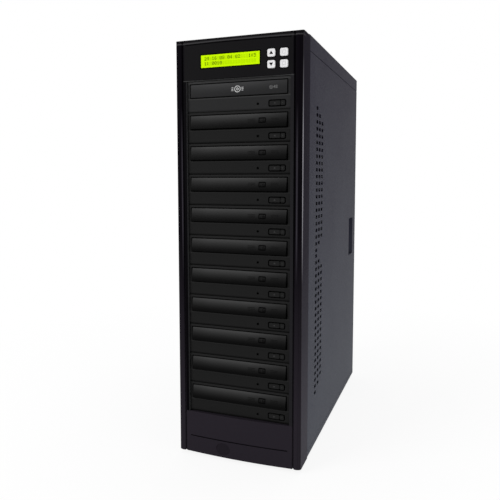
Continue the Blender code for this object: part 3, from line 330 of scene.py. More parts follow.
ROCKER_TILT = math.radians(9)
ROCKER_PROUD = 0.0022
ROCKER_PIVOT_DEPTH = 0.0022
ROCKER_BODY_DEPTH = 0.005
ROCKER_HOUSING_DEPTH = 0.011
ROCKER_RIM = 0.004
ROCKER_RIM_CORNER = 0.001
ROCKER_RIM_PROUD = 0.0008
ROCKER_STEPS = 8
ROCKER_DIP = 1.3
ROCKER_PIN_RADIUS = 0.0012
ROCKER_PIN_HALF = 0.0061
ROCKER_MARK_SINK = 1.35
ROCKER_MARK_DEPTH = 0.00015
ROCKER_MARK_SHARE = 0.55
ROCKER_BAR = (0.0007, 0.0034)
ROCKER_RING = (0.0017, 0.0011)
ROCKER_RING_SIDES = 28
FAN_SIZE = 0.12
FAN_DEPTH = 0.025
FAN_Z = 0.16
FAN_BORE_RADIUS = 0.0575
FAN_HUB_RADIUS = 0.02
FAN_STRUT_WIDTH = 0.005
FAN_STRUT_THICKNESS = 0.003
FAN_CORNER = 0.006
FAN_SCREW_SPAN = 0.105
FAN_SCREW_RADIUS = 0.0022
FAN_BORE_SIDES = 96
HUB_EDGE = 0.0012
HUB_ROUND = 0.3
GRILLE_SLOT_HEIGHT = 0.006
GRILLE_PITCH = 0.0098
GRILLE_ROWS = 5
BLADE_COUNT = 7
BLADE_THICKNESS = 0.0018
BLADE_TIP_GAP = 0.0015
BLADE_ROOT_PITCH = math.radians(48)
BLADE_TIP_PITCH = math.radians(30)
BLADE_CAMBER = 0.06
BLADE_STATIONS = 8
BLADE_POINTS = 10
BLADE_SHARE = 0.97

# Rails and controller board
RAIL_FRONT = 0.052
RAIL_DEPTH = 0.13
RAIL_SLOT = (0.014, 0.005, 0.0024)
CONTROLLER_DEPTH = 0.12
SOCKET_PITCH = 0.0112
SOCKET_INSET = 0.004
SOCKET_SIZE = (0.0075, 0.014, 0.0085)
SOCKET_HOLE_WIDTH = 0.0053
SOCKET_HOLE_INSET = 0.0018
SOCKET_HOLE_Z = (0.002, 0.01)
TONGUE_WIDTH = 0.001
TONGUE_INSET = 0.0032
TONGUE_Z = (0.001, 0.0075)
SINK_X_SHARE = -0.22
SINK_Y_SHARE = 0.4
SINK_SIZE = 0.032
SINK_PLATE = 0.003
FIN_COUNT = 9
FIN_PITCH = 0.00385
FIN_WIDTH = 0.0012
FIN_Z = (0.002, 0.012)
CHIP_COUNT = 4
CHIP_GAP = 0.004
CHIP_PITCH = 0.0125
CHIP_SIZE = (0.0105, 0.012, 0.0012)

# Feet and screws
FOOT_PROFILE = (
    (0.0025, 0.0018),
    (0.003, 0.0004),
    (0.0038, 0),
    (0.0072, 0),
    (0.0078, 0.0002),
    (0.0081, 0.0008),
    (0.009, 0.0051),
    (0.0088, 0.0057),
)
SCREW_HEAD_RADIUS = 0.0045
SCREW_HEAD_LENGTH = 0.006
SCREW_SHANK_RADIUS = 0.0016
SCREW_SHANK_LENGTH = 0.006
KNURLS = 28
KNURL_DEPTH = 0.0003
KNURL_FORM = ((0, 1), (0.3, 0), (0.7, 0))
HEAD_RINGS = ((0.92, 0), (1, 0.0004), (1, 0.0052), (0.9, 0.0058), (0.8, 0.006))
SCREW_SLOT_WIDTH = 0.0011
SCREW_SLOT_DEPTH = 0.0014
THREADS = 8
THREAD_DEPTH = 0.0003
SCREW_TIP = 0.0005

# Light and floor, each lamp with its place, target, size and power
LAMPS = {
    "key": ((-1.45, -1.9, 1.3), (0, 0, 0.3), (1.3, 1.9), 40),
    "fill": ((2.2, -0.9, 0.7), (0, 0, 0.3), (1.2, 1.4), 6),
    "low": ((0.75, -0.15, 0.1), (0.09, 0, 0.1), (0.3, 0.3), 0.6),
    "top": ((0.2, 0.4, 2.4), (0, 0, 0.3), (1.6, 1.6), 14),
}
WORLD_LIGHT = 0.6
FLOOR_RADIUS = 8
FLOOR_SIDES = 96
FLOOR_COLOUR = (0.9, 0.9, 0.9)
FLOOR_NEAR_WHITE = 0.88
FLOOR_FADE = (0.3, 0.9)

# Camera, with its place from the front plane
CAMERA_PLACE = (0.2782, -0.6952, 0.4002)
CAMERA_AZIMUTH = math.radians(19.878)
CAMERA_ELEVATION = math.radians(4.68)
CAMERA_LENS = 39.695
CAMERA_SENSOR = 36
CAMERA_SHIFT = (-0.01106, -0.0513)

# Places that follow from the frame
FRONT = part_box("front_bezel")[1].y - BEZEL_DEPTH
BODY_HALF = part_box("front_bezel")[1].x
BASE_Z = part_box("front_bezel")[0].z
TOP_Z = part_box("front_bezel")[1].z
STACK_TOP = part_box("drive_01")[1].z + (DRIVE_PITCH - FACE_HEIGHT) / 2
STACK_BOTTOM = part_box("drive_11")[0].z - (DRIVE_PITCH - FACE_HEIGHT) / 2
OPENING_HALF = BODY_HALF - PILLAR_WIDTH
CASE_HALF = BODY_HALF - GAP
CASE_INNER_HALF = CASE_HALF - SHEET
REAR_HALF = CASE_INNER_HALF - GAP
CASE_FRONT = BEZEL_DEPTH + GAP
REAR_INNER = CASE_DEPTH - SHEET
FLANGE_REAR = CASE_DEPTH + GAP + SHEET
PANEL_BOTTOM = BASE_Z + BASE_FLANGE + GAP
PANEL_TOP = TOP_Z - TOP_FLANGE - RUN_GAP - GAP
SCREW_LEVELS = (PANEL_TOP + RUN_GAP - SCREW_INSET_Z, PANEL_BOTTOM + SCREW_INSET_Z)
PSU_REAR = REAR_INNER - GAP
LCD_Z = TOP_Z - LCD_DROP_SHARE * (TOP_Z - STACK_TOP)
RAIL_TOP = STACK_TOP + SHEET + GAP
KEYS = {"key_up": "up", "key_down": "down", "key_enter": "ring", "key_escape": "square"}
DRIVES = [f"{number:02d}" for number in range(1, 12)]
SIDES = {"left": -1, "right": 1}


def middle_of(node):
    """The middle of a CAD node's box, with Y back from the front plane."""
    low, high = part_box(node)
    middle = (low + high) / 2
    return Vector((middle.x, middle.y - FRONT, middle.z))


def panel_surface(x):
    """How far behind the front plane the bowed header and footer lie at x."""
    return PANEL_SET - PANEL_BOW * (1 - (x / OPENING_HALF) ** 2)


# Shapes


def turned(axis, along, point):
    first, second = point
    return {
        "X": (along, first, second),
        "Y": (first, along, second),
        "Z": (first, second, along),
    }[axis]


def loft(rings):
    """A closed body through rings that have the same number of points."""
    shape = bmesh.new()
    loops = [[shape.verts.new(point) for point in ring] for ring in rings]
    shape.faces.new(loops[0])
    shape.faces.new(loops[-1])
    for near, far in zip(loops, loops[1:]):
        for index, corner in enumerate(near):
            after = (index + 1) % len(near)
            shape.faces.new((corner, near[after], far[after], far[index]))
    bmesh.ops.recalc_face_normals(shape, faces=shape.faces)
    return shape


def prism(outline, axis, start, end):
    return loft([[turned(axis, along, point) for point in outline] for along in (start, end)])


def box(x, y, z):
    return prism([(x[0], y[0]), (x[1], y[0]), (x[1], y[1]), (x[0], y[1])], "Z", *z)


def centred(middle, size):
    return (middle - size / 2, middle + size / 2)


def arc(centre, radius, start, end, steps):
    points = []
    for step in range(steps + 1):
        turn = start + (end - start) * step / steps
        points.append((centre[0] + radius * math.cos(turn), centre[1] + radius * math.sin(turn)))
    return points


def circle(centre, radius, sides):
    return arc(centre, radius, 0, math.tau * (sides - 1) / sides, sides - 1)


def rounded(centre, width, height, radius, steps=ROUND_STEPS):
    """A rectangle outline with round corners."""
    points = []
    for quarter, (across, up) in enumerate(((1, 1), (-1, 1), (-1, -1), (1, -1))):
        corner = (
            centre[0] + across * (width / 2 - radius),
            centre[1] + up * (height / 2 - radius),
        )
        turn = math.pi / 2 * quarter
        points += arc(corner, radius, turn, turn + math.pi / 2, steps)
    return points


def lathe(axis, centre, profile, sides):
    """A turned body from (radius, along) pairs."""
    rings = [[turned(axis, along, p) for p in circle(centre, radius, sides)] for radius, along in profile]
    return loft(rings)


def within(point, loop):
    """Whether a point lies inside a closed outline."""
    inside = False
    for (x, y), (far_x, far_y) in zip(loop, [*loop[1:], loop[0]]):
        if (y > point.y) != (far_y > point.y):
            if point.x < x + (far_x - x) * (point.y - y) / (far_y - y):
                inside = not inside
    return inside


def plate(outline, holes, axis, start, end):
    """A flat plate of any outline with holes right through it."""
    points = []
    edges = []
    for loop in (outline, *holes):
        base = len(points)
        points += [Vector(point) for point in loop]
        edges += [(base + index, base + (index + 1) % len(loop)) for index in range(len(loop))]
    found = delaunay_2d_cdt(points, edges, [], 1, MERGE)
    shape = bmesh.new()
    verts = [shape.verts.new(turned(axis, start, point)) for point in found[0]]
    for triangle in found[2]:
        middle = sum((found[0][index] for index in triangle), Vector((0, 0))) / 3
        if not any(within(middle, hole) for hole in holes):
            shape.faces.new([verts[index] for index in triangle])
    step = Vector(turned(axis, end - start, (0, 0)))
    raised = bmesh.ops.extrude_face_region(shape, geom=shape.faces[:])["geom"]
    for item in raised:
        if isinstance(item, bmesh.types.BMVert):
            item.co += step
    bmesh.ops.recalc_face_normals(shape, faces=shape.faces)
    return shape


def folded(corners):
    """A bent sheet's outline. Its outer face runs through the corners, with its inside on the left."""
    outer = []
    inner = []
    steps = len(corners) - 1
    runs = [(Vector(b) - Vector(a)).normalized() for a, b in zip(corners, corners[1:])]
    lefts = [Vector((-run.y, run.x)) for run in runs]
    for index, corner in enumerate(corners):
        corner = Vector(corner)
        if index in (0, steps):
            left = lefts[0] if index == 0 else lefts[-1]
            outer.append(tuple(corner))
            inner.append(tuple(corner + left * SHEET))
            continue
        centre = corner - runs[index - 1] * BEND_RADIUS + lefts[index - 1] * BEND_RADIUS
        for step in range(BEND_STEPS + 1):
            turn = math.pi / 2 * step / BEND_STEPS
            way = runs[index - 1] * math.sin(turn) - lefts[index - 1] * math.cos(turn)
            outer.append(tuple(centre + way * BEND_RADIUS))
            inner.append(tuple(centre + way * (BEND_RADIUS - SHEET)))
    return outer + inner[::-1]


def poured(shape, whole):
    """Moves a body from its own bmesh into another."""
    mesh = meshed("body", shape)
    whole.from_mesh(mesh)
    bpy.data.meshes.remove(mesh)


def gathered(shapes):
    """Several separate bodies in one bmesh."""
    whole = bmesh.new()
    for shape in shapes:
        poured(shape, whole)
    return whole


def linked(name, data):
    """A new object in the scene."""
    item = bpy.data.objects.new(name, data)
    bpy.context.scene.collection.objects.link(item)
    return item


def meshed(name, shape):
    """A mesh from a bmesh, which is freed."""
    mesh = bpy.data.meshes.new(name)
    shape.to_mesh(mesh)
    shape.free()
    return mesh


def helper(shape):
    return linked("helper", meshed("helper", shape))


def discarded(item):
    mesh = item.data
    bpy.data.objects.remove(item)
    bpy.data.meshes.remove(mesh)


def combined(body, tool, operation):
    """The shape left by one exact Boolean of body with tool."""
    target, other = helper(body), helper(tool)
    modifier = target.modifiers.new(operation, "BOOLEAN")
    modifier.solver = "EXACT"
    modifier.operation = operation
    modifier.object = other
    result = bmesh.new()
    result.from_mesh(target.evaluated_get(bpy.context.evaluated_depsgraph_get()).to_mesh())
    discarded(target)
    discarded(other)
    return result


def carved(body, *tools):
    for tool in tools:
        body = combined(body, tool, "DIFFERENCE")
    return body


def joined(body, *parts):
    for part in parts:
        body = combined(body, part, "UNION")
    return body


def mirrored(shape):
    copy = shape.copy()
    bmesh.ops.scale(copy, verts=copy.verts, vec=(-1, 1, 1))
    bmesh.ops.reverse_faces(copy, faces=copy.faces)
    return copy


def sided(shape, way):
    """A copy of a right-hand shape for the side that way points to."""
    return shape.copy() if way == 1 else mirrored(shape)


def numerals(text, height, centre, front):
    """Plain numbers printed on a face that looks towards the front."""
    curve = bpy.data.curves.new("numerals", "FONT")
    curve.body = text
    curve.size = height / NUMERAL_SHARE
    curve.align_x = "CENTER"
    curve.align_y = "CENTER"
    curve.resolution_u = NUMERAL_STEPS
    curve.extrude = PRINT
    item = linked("numerals", curve)
    mesh = bpy.data.meshes.new_from_object(item)
    shape = bmesh.new()
    shape.from_mesh(mesh)
    bpy.data.objects.remove(item)
    bpy.data.curves.remove(curve)
    bpy.data.meshes.remove(mesh)
    shape.transform(Matrix.Translation((centre[0], front, centre[1])) @ Matrix.Rotation(math.pi / 2, 4, "X"))
    return shape


def evaluated(item):
    """The item's mesh with its modifiers applied."""
    graph = bpy.context.evaluated_depsgraph_get()
    return bpy.data.meshes.new_from_object(item.evaluated_get(graph), depsgraph=graph)


def merged(parts, widest):
    """One bmesh with bevel weights from the (shape, material, edge) parts, and their materials."""
    whole = bmesh.new()
    whole.edges.layers.float.new("bevel_weight_edge")
    surfaces = []
    for shape, surface, edge in parts:
        if surface not in surfaces:
            surfaces.append(surface)
        bmesh.ops.remove_doubles(shape, verts=shape.verts, dist=MERGE * 10)
        bmesh.ops.dissolve_limit(shape, angle_limit=FLAT_ANGLE, verts=shape.verts, edges=shape.edges)
        weights = shape.edges.layers.float.new("bevel_weight_edge")
        for line in shape.edges:
            if line.is_manifold and line.calc_face_angle() > CORNER_ANGLE:
                line[weights] = edge / widest if widest else 0
        for face in shape.faces:
            face.material_index = surfaces.index(surface)
        poured(shape, whole)
    return whole, surfaces


def assembled(name, parts):
    """One mesh from (shape, material, edge) parts, each with its corners rounded by its edge."""
    widest = max(edge for _, _, edge in parts)
    whole, surfaces = merged(parts, widest)
    rough = helper(whole)
    for surface in surfaces:
        rough.data.materials.append(surface)
    if widest:
        bevel = rough.modifiers.new("edges", "BEVEL")
        bevel.limit_method = "WEIGHT"
        bevel.width = widest
        bevel.segments = EDGE_STEPS
        bevel.use_clamp_overlap = False
        bevel.miter_outer = "MITER_ARC"
    smooth = linked("smooth", evaluated(rough))
    smooth.data.shade_smooth()
    smooth.data.set_sharp_from_angle(angle=SHARP_ANGLE)
    normals = smooth.modifiers.new("normals", "WEIGHTED_NORMAL")
    normals.keep_sharp = True
    mesh = evaluated(smooth)
    mesh.name = name
    discarded(rough)
    discarded(smooth)
    return mesh


def piece(name, mesh, body, slot, *nodes, at=(0, 0, 0)):
    """Puts a mesh in place as a piece that rides on a body and stands for the nodes."""
    item = linked(name, mesh)
    item.location = (at[0], at[1] + FRONT, at[2])
    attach(item, body)
    if nodes:
        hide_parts(*nodes)
    return item


# Materials

BROAD = 14
GRAIN = 2600
GRAIN_DEPTH = 0.00003
GLOSS_SPREAD = 0.03
FASCIA_GRAIN_DEPTH = 0.00002
CLOUD = 9
HIGHLIGHT_UNEVEN = (0.75, 1.1)
PAINT_UNEVEN = 0.08
PAINT_GLOSS = 420
PEEL = 650
PEEL_DEPTH = 0.00006
GRIT = 2400
GRIT_DEPTH = 0.00002
SPANGLE = 150
ZINC_TONES = (0.82, 1.1)
ZINC_GLOSS = (0.08, 0.1)
ROLL_LINES = 900
ROLL_STRETCH = (1, 1, 0.02)
LINE_DEPTH = 0.00001
TURN_LINES = 60
TURN_STRETCH = (1, 60, 1)
TURN_TONES = (0.88, 1.08)
TURN_GLOSS = (0.05, 0.08)
TRACKS = 260
TRACK_WIDTHS = (0.03, 0.06)
TRACK_TONES = (1, 2)
TRACK_DEPTH = 0.00002
GLOW = 22
GLOW_TONES = (0.9, 1)
GLOW_TINT = 0.92
DIFFUSER = 1800
DIFFUSER_DEPTH = 0.000005
FLAT_TONES = (0.92, 1.08)
PANEL_TONES = (0.9, 1.1)


class Surface:
    """A Principled material and short calls that add texture nodes to it."""

    def __init__(self, name, roughness, metallic=0.0, specular=0.5):
        self.made = bpy.data.materials.new(name)
        self.made.use_nodes = True
        self.nodes = self.made.node_tree.nodes
        self.links = self.made.node_tree.links
        self.shader = self.nodes["Principled BSDF"]
        self.shader.inputs["Roughness"].default_value = roughness
        self.shader.inputs["Metallic"].default_value = metallic
        self.shader.inputs["Specular IOR Level"].default_value = specular
        self.place = self.node("TexCoord").outputs["Object"]
        self.normal = None

    def feed(self, socket, value):
        """Links a node's output to a socket, or sets the socket to a value."""
        if isinstance(value, bpy.types.NodeSocket):
            self.links.new(value, socket)
        else:
            socket.default_value = value

    def node(self, kind, **inputs):
        made = self.nodes.new("ShaderNode" + kind)
        for name, value in inputs.items():
            self.feed(made.inputs[name.replace("_", " ")], value)
        return made

    def stretched(self, scale):
        return self.node("Mapping", Vector=self.place, Scale=scale).outputs["Vector"]

    def noise(self, scale, detail=2.0, along=None):
        return self.node("TexNoise", Vector=along or self.place, Scale=scale, Detail=detail).outputs["Fac"]

    def cells(self, scale, output="Color", feature="F1"):
        made = self.node("TexVoronoi", Vector=self.place, Scale=scale)
        made.feature = feature
        return made.outputs[output]

    def ranged(self, value, low, high, start=0.3, end=0.7):
        made = self.node("MapRange", Value=value, From_Min=start, From_Max=end, To_Min=low, To_Max=high)
        return made.outputs["Result"]

    def blended(self, value, under, over):
        """The colour over laid on the colour under where the value is 1."""
        made = self.nodes.new("ShaderNodeMix")
        made.data_type = "RGBA"
        self.feed(made.inputs["Factor"], value)
        for name, colour in (("A", under), ("B", over)):
            self.feed(made.inputs[name], (*colour, 1) if isinstance(colour, tuple) else colour)
        return made.outputs["Result"]

    def maths(self, operation, first, second=0.0):
        made = self.nodes.new("ShaderNodeMath")
        made.operation = operation
        self.feed(made.inputs[0], first)
        self.feed(made.inputs[1], second)
        return made.outputs["Value"]

    def times(self, first, *others):
        for other in others:
            first = self.maths("MULTIPLY", first, other)
        return first

    def away(self, value, middle):
        return self.maths("ABSOLUTE", self.maths("SUBTRACT", value, middle))

    def axes(self):
        return self.node("SeparateXYZ", Vector=self.place).outputs

    def band(self, value, middle, half, soft):
        """1 within half of the middle, and 0 beyond a soft edge."""
        return self.ranged(self.away(value, middle), 1, 0, half, half + soft)

    def colour(self, value, first, second):
        self.feed(self.shader.inputs["Base Color"], self.blended(value, first, second))

    def toned(self, value, colour, spread):
        self.colour(value, *(shade(colour, share) for share in spread))

    def rough(self, value, low, high):
        self.feed(self.shader.inputs["Roughness"], self.ranged(value, low, high))

    def bump(self, value, depth):
        made = self.node("Bump", Strength=1.0, Distance=depth, Height=value)
        if self.normal:
            self.feed(made.inputs["Normal"], self.normal)
        self.normal = made.outputs["Normal"]
        self.feed(self.shader.inputs["Normal"], self.normal)

    def finished(self, tone, broad, roughness, grain=GRAIN, depth=GRAIN_DEPTH):
        """Moulded plastic in a tone, with an uneven gloss and a spark-eroded grain."""
        self.feed(self.shader.inputs["Base Color"], tone)
        self.rough(broad, roughness - GLOSS_SPREAD, roughness + GLOSS_SPREAD)
        self.bump(self.noise(grain, 3), depth)
        return self.made


def shade(colour, share):
    return tuple(min(1.0, channel * share) for channel in colour)


def moulded(name, colour, roughness, grain=GRAIN, depth=GRAIN_DEPTH, specular=0.5, spread=0.12):
    """Moulded plastic: a fine spark-eroded grain, and a faint unevenness of tone and gloss."""
    surface = Surface(name, roughness, 0.0, specular)
    broad = surface.noise(BROAD, 3)
    tone = surface.blended(broad, shade(colour, 1 - spread), shade(colour, 1 + spread))
    return surface.finished(tone, broad, roughness, grain, depth)


def groove_shade_mask(surface, x, y, z):
    """Where painted shade darkens the grooves of the bowed header and footer: 1 in the grooves, and less in
    the badge's recess.
    """
    bow = surface.times(surface.maths("POWER", x, 2.0), PANEL_BOW / OPENING_HALF**2)
    front = PANEL_SET - PANEL_BOW
    depth = surface.maths("SUBTRACT", y, bow)
    groove_shade = surface.ranged(depth, 0, 1, front + SEAM_DEPTH / 4, front + SEAM_DEPTH / 2)
    inside = surface.ranged(x, 1, 0, OPENING_HALF - 2 * GAP, OPENING_HALF - GAP)
    middle = (STACK_TOP + STACK_BOTTOM) / 2
    edge = STACK_TOP - middle
    beyond = surface.ranged(surface.away(z, middle), 0, 1, edge + SEAM_WIDTH, edge + 2 * SEAM_WIDTH)
    seam = BASE_Z + FOOTER_SEAM_RISE
    least = surface.ranged(z, BADGE_SHADE, 1, seam - 2 * SEAM_WIDTH, seam - SEAM_WIDTH)
    return surface.times(groove_shade, inside, beyond, least)


def rib_highlight_mask(surface, across, y, z):
    """Where a painted highlight lies: 1 along the ribs beside the grooves, about level with the upper
    drives.
    """
    aside = surface.away(across, RIB_HIGHLIGHT_SHIFT)
    rib = OPENING_HALF + LIP_WIDTH + GROOVE_WIDTH + RIB_HIGHLIGHT_INSET
    rib = surface.band(aside, rib, RIB_HIGHLIGHT_HALF, RIB_HIGHLIGHT_HALF)
    front = surface.ranged(y, 1, 0, RIB_HEIGHT, 2 * RIB_HEIGHT)
    return surface.times(rib, front, surface.band(z, *RIB_HIGHLIGHT_BAND))


def corner_highlight_mask(surface, x, y, z):
    """Where a painted highlight lies: 1 along the round corners, and less towards their ends."""
    corner = surface.band(y, CORNER_HIGHLIGHT_Y, CORNER_HIGHLIGHT_HALF, CORNER_HIGHLIGHT_HALF)
    outer = surface.ranged(x, 0, 1, BODY_HALF - CORNER_RADIUS / 2, BODY_HALF - CORNER_RADIUS / 4)
    level = surface.maths("ADD", surface.band(z, *CORNER_HIGHLIGHT_BAND), CORNER_HIGHLIGHT_LEAST)
    return surface.times(corner, outer, level)


def bezel_plastic(name, tones, roughness, specular):
    """The bezel's plastic, with painted light and shade over its own tone: painted shade on the pillars, in
    the grooves and on the top sweep, painted highlights along the ribs, the round corners and a band under
    the top edge, and a painted lighter tone low down on the front and sides.
    """
    surface = Surface(name, roughness, 0.0, specular)
    across, y, z = surface.axes()
    x = surface.maths("ABSOLUTE", across)
    broad = surface.noise(BROAD, 3)
    uneven = surface.ranged(surface.noise(CLOUD, 2), *HIGHLIGHT_UNEVEN)
    lip = OPENING_HALF + LIP_WIDTH
    flank = surface.ranged(x, 0, 1, BODY_HALF - GAP, BODY_HALF - GAP / 2)
    # A painted lighter tone low down on the bezel's front and sides, where more light falls.
    low = surface.maths("POWER", surface.ranged(z, 1, 0, *FLANK_RISE), 2.0)
    sweep = surface.ranged(z, 0, 1, TOP_Z - TOP_SWEEP_DROP, TOP_Z - TOP_SWEEP_DROP + SWEEP_SOFT)
    front = surface.ranged(y, 1, 0, BEZEL_DEPTH / 8, BEZEL_DEPTH / 2)
    # A painted highlight in a band under the top edge.
    top_highlight = surface.band(z, TOP_Z - TOP_HIGHLIGHT_DROP, TOP_HIGHLIGHT_HALF, TOP_HIGHLIGHT_HALF)
    # Painted light and shade over the plastic's own panel and flank tones: the darker pillars, grooves and
    # top sweep are painted shade, the lighter tones low down are painted light, and the ribs, corners and
    # the band under the top edge carry painted highlights.
    masks = {
        "pillar": surface.ranged(x, 0, 1, lip - GROOVE_WIDTH, lip),
        "low": surface.ranged(z, 1, 0, STACK_BOTTOM, PAINTED_LIGHT_TOP),
        "groove_shade": groove_shade_mask(surface, x, y, z),
        "rib": surface.times(rib_highlight_mask(surface, across, y, z), uneven),
        "flank": flank,
        "flank_lit_low": surface.times(flank, low),
        "corner": surface.times(corner_highlight_mask(surface, x, y, z), uneven),
        "sweep": surface.times(sweep, front),
        "top_highlight": surface.times(top_highlight, front),
    }
    tone = flat_tone(surface, broad, tones["panel"], PANEL_TONES)
    for part, mask in masks.items():
        tone = surface.blended(mask, tone, tones[part])
    return surface.finished(tone, broad, roughness)


def flat_tone(surface, broad, colour, spread=FLAT_TONES):
    return surface.blended(broad, *(shade(colour, share) for share in spread))


def trim_plastic(name, tones, roughness, specular):
    """The trim beside the drives: painted shade on its left part, a painted highlight on the wall beside the
    drives' left edge, and paler over the highest drive.
    """
    surface = Surface(name, roughness, 0.0, specular)
    x, _, z = surface.axes()
    inner = -FACE_WIDTH / 2 - GAP
    broad = surface.noise(BROAD, 3)
    tone = flat_tone(surface, broad, tones["flat"])
    left = surface.ranged(x, 1, 0, inner - 2 * GAP, inner - GAP)
    tone = surface.blended(left, tone, tones["left"])
    tone = surface.blended(surface.band(x, inner, GAP / 3, GAP / 3), tone, tones["wall"])
    tone = surface.blended(surface.ranged(z, 0, 1, STACK_TOP - GAP, STACK_TOP), tone, tones["over"])
    return surface.finished(tone, broad, roughness)


def face_plastic(name, kind, tones, roughness, specular):
    """A drive's face: painted highlights over the tray and along the lip under it, and painted shade along
    its foot.
    """
    low, high, _ = TRAY_FORMS[kind]
    surface = Surface(name, roughness, 0.0, specular)
    z = surface.axes()["Z"]
    broad = surface.noise(BROAD, 3)
    tone = flat_tone(surface, broad, tones["flat"])
    tone = surface.blended(surface.ranged(z, 0, 1, high, high + TRAY_GAP), tone, tones["over"])
    lip = surface.band(z, low - TRAY_GAP - LIP_HIGHLIGHT_HALF, LIP_HIGHLIGHT_HALF, LIP_HIGHLIGHT_HALF)
    tone = surface.blended(lip, tone, tones["lip"])
    tone = surface.blended(surface.ranged(z, 1, 0, *FACE_FOOT_SHADE), tone, tones["foot"])
    return surface.finished(tone, broad, roughness)


def fascia_plastic(name, kind, tones, roughness, specular):
    """A tray's curved fascia, with a painted highlight along its upper edge that fades downwards and towards
    its ends.
    """
    low, high, _ = TRAY_FORMS[kind]
    surface = Surface(name, roughness, 0.0, specular)
    x, _, z = surface.axes()
    rise = surface.maths("POWER", surface.ranged(z, 0, 1, low, high), FASCIA_FADE)
    spread = surface.ranged(surface.away(x, -FASCIA_HIGHLIGHT_X), 1, FASCIA_END_SHARE, *FASCIA_HIGHLIGHT_REACH)
    tone = surface.blended(surface.times(rise, spread), tones["low"], tones["high"])
    return surface.finished(tone, surface.noise(BROAD, 3), roughness, depth=FASCIA_GRAIN_DEPTH)


def painted(name, colour, lit_low_colour, roughness, specular=0.5):
    """Powder paint on sheet: a soft orange peel with a finer grit over it, and a painted lighter tone low
    down, where more light falls.
    """
    surface = Surface(name, roughness, 0.0, specular)
    height = surface.ranged(surface.axes()["Z"], 1, 0, 0, TOP_Z)
    uneven = surface.ranged(surface.noise(CLOUD, 3), -PAINT_UNEVEN, PAINT_UNEVEN)
    surface.colour(surface.maths("ADD", height, uneven), colour, lit_low_colour)
    surface.rough(surface.noise(PAINT_GLOSS, 2), roughness - 0.05, roughness + 0.05)
    surface.bump(surface.noise(PEEL, 2), PEEL_DEPTH)
    surface.bump(surface.noise(GRIT, 2), GRIT_DEPTH)
    return surface.made


def galvanised(name, colour, roughness):
    """Zinc-coated sheet with its spangle and faint rolling lines."""
    surface = Surface(name, roughness, 1.0)
    spangle = surface.cells(SPANGLE)
    surface.toned(spangle, colour, ZINC_TONES)
    surface.rough(spangle, roughness - ZINC_GLOSS[0], roughness + ZINC_GLOSS[1])
    surface.bump(surface.noise(ROLL_LINES, 2, surface.stretched(ROLL_STRETCH)), LINE_DEPTH)
    return surface.made


def turned_metal(name, colour, roughness):
    surface = Surface(name, roughness, 1.0)
    lines = surface.noise(TURN_LINES, 2, surface.stretched(TURN_STRETCH))
    surface.toned(lines, colour, TURN_TONES)
    surface.rough(lines, roughness - TURN_GLOSS[0], roughness + TURN_GLOSS[1])
    surface.bump(lines, LINE_DEPTH)
    return surface.made


def lit(name, colour, strength):
    """The display's backlight behind its diffuser, a little uneven along the panel."""
    surface = Surface(name, 0.4, 0.0, 0.005)
    glow = surface.noise(GLOW, 1)
    surface.toned(glow, colour, GLOW_TONES)
    tint = surface.blended(glow, shade(colour, GLOW_TINT), colour)
    surface.feed(surface.shader.inputs["Emission Color"], tint)
    surface.feed(surface.shader.inputs["Emission Strength"], strength)
    surface.bump(surface.noise(DIFFUSER, 1), DIFFUSER_DEPTH)
    return surface.made


def solder_mask(name, colour):
    """Circuit board: copper tracks that show through the mask as lighter lines."""
    surface = Surface(name, 0.35)
    tracks = surface.cells(TRACKS, "Distance", "DISTANCE_TO_EDGE")
    line = surface.ranged(tracks, 1, 0, *TRACK_WIDTHS)
    surface.toned(line, colour, TRACK_TONES)
    surface.bump(line, TRACK_DEPTH)
    return surface.made


# The bezel's tones: panel and flank are the plastic's own; the darker pillar, groove and top-sweep tones are
# painted shade, the lighter low tones are painted light, and the pale rib, corner and top-edge tones are
# painted highlights.
BEZEL_TONES = {
    "panel": (0.0077, 0.0074, 0.008),
    "pillar": (0.0032, 0.0026, 0.0038),
    "low": (0.0175, 0.0148, 0.0195),
    "rib": (0.03, 0.027, 0.034),
    "flank": (0.0043, 0.0024, 0.008),
    "flank_lit_low": (0.046, 0.043, 0.053),
    "corner": (0.3, 0.29, 0.32),
    "sweep": (0.007, 0.0065, 0.0075),
    "top_highlight": (0.034, 0.033, 0.035),
    "groove_shade": (0.0025, 0.0022, 0.0028),
}
# The trim's tones: flat is its own, left is painted shade, wall is a painted highlight, and over is paler
# over the highest drive.
TRIM_TONES = {
    "flat": (0.0115, 0.011, 0.0125),
    "left": (0.0005, 0.0003, 0.0008),
    "wall": (0.033, 0.033, 0.034),
    "over": (0.042, 0.042, 0.043),
}
# The faces' tones: flat is their own; over and lip are painted highlights, and foot is painted shade.
FACE_TONES = {
    "reader": {
        "flat": (0.0175, 0.0175, 0.018),
        "over": (0.034, 0.034, 0.0345),
        "lip": (0.03, 0.03, 0.03),
        "foot": (0.01, 0.01, 0.01),
    },
    "writer": {
        "flat": (0.0102, 0.0102, 0.0102),
        "over": (0.0125, 0.0125, 0.0125),
        "lip": (0.015, 0.015, 0.015),
        "foot": (0.003, 0.003, 0.003),
    },
}
# The fascias' tones: high is the painted highlight along the upper edge, and low is the tone it fades to.
FASCIA_TONES = {
    "reader": {"low": (0.0155, 0.0155, 0.016), "high": (0.042, 0.042, 0.043)},
    "writer": {"low": (0.002, 0.002, 0.002), "high": (0.046, 0.046, 0.046)},
}
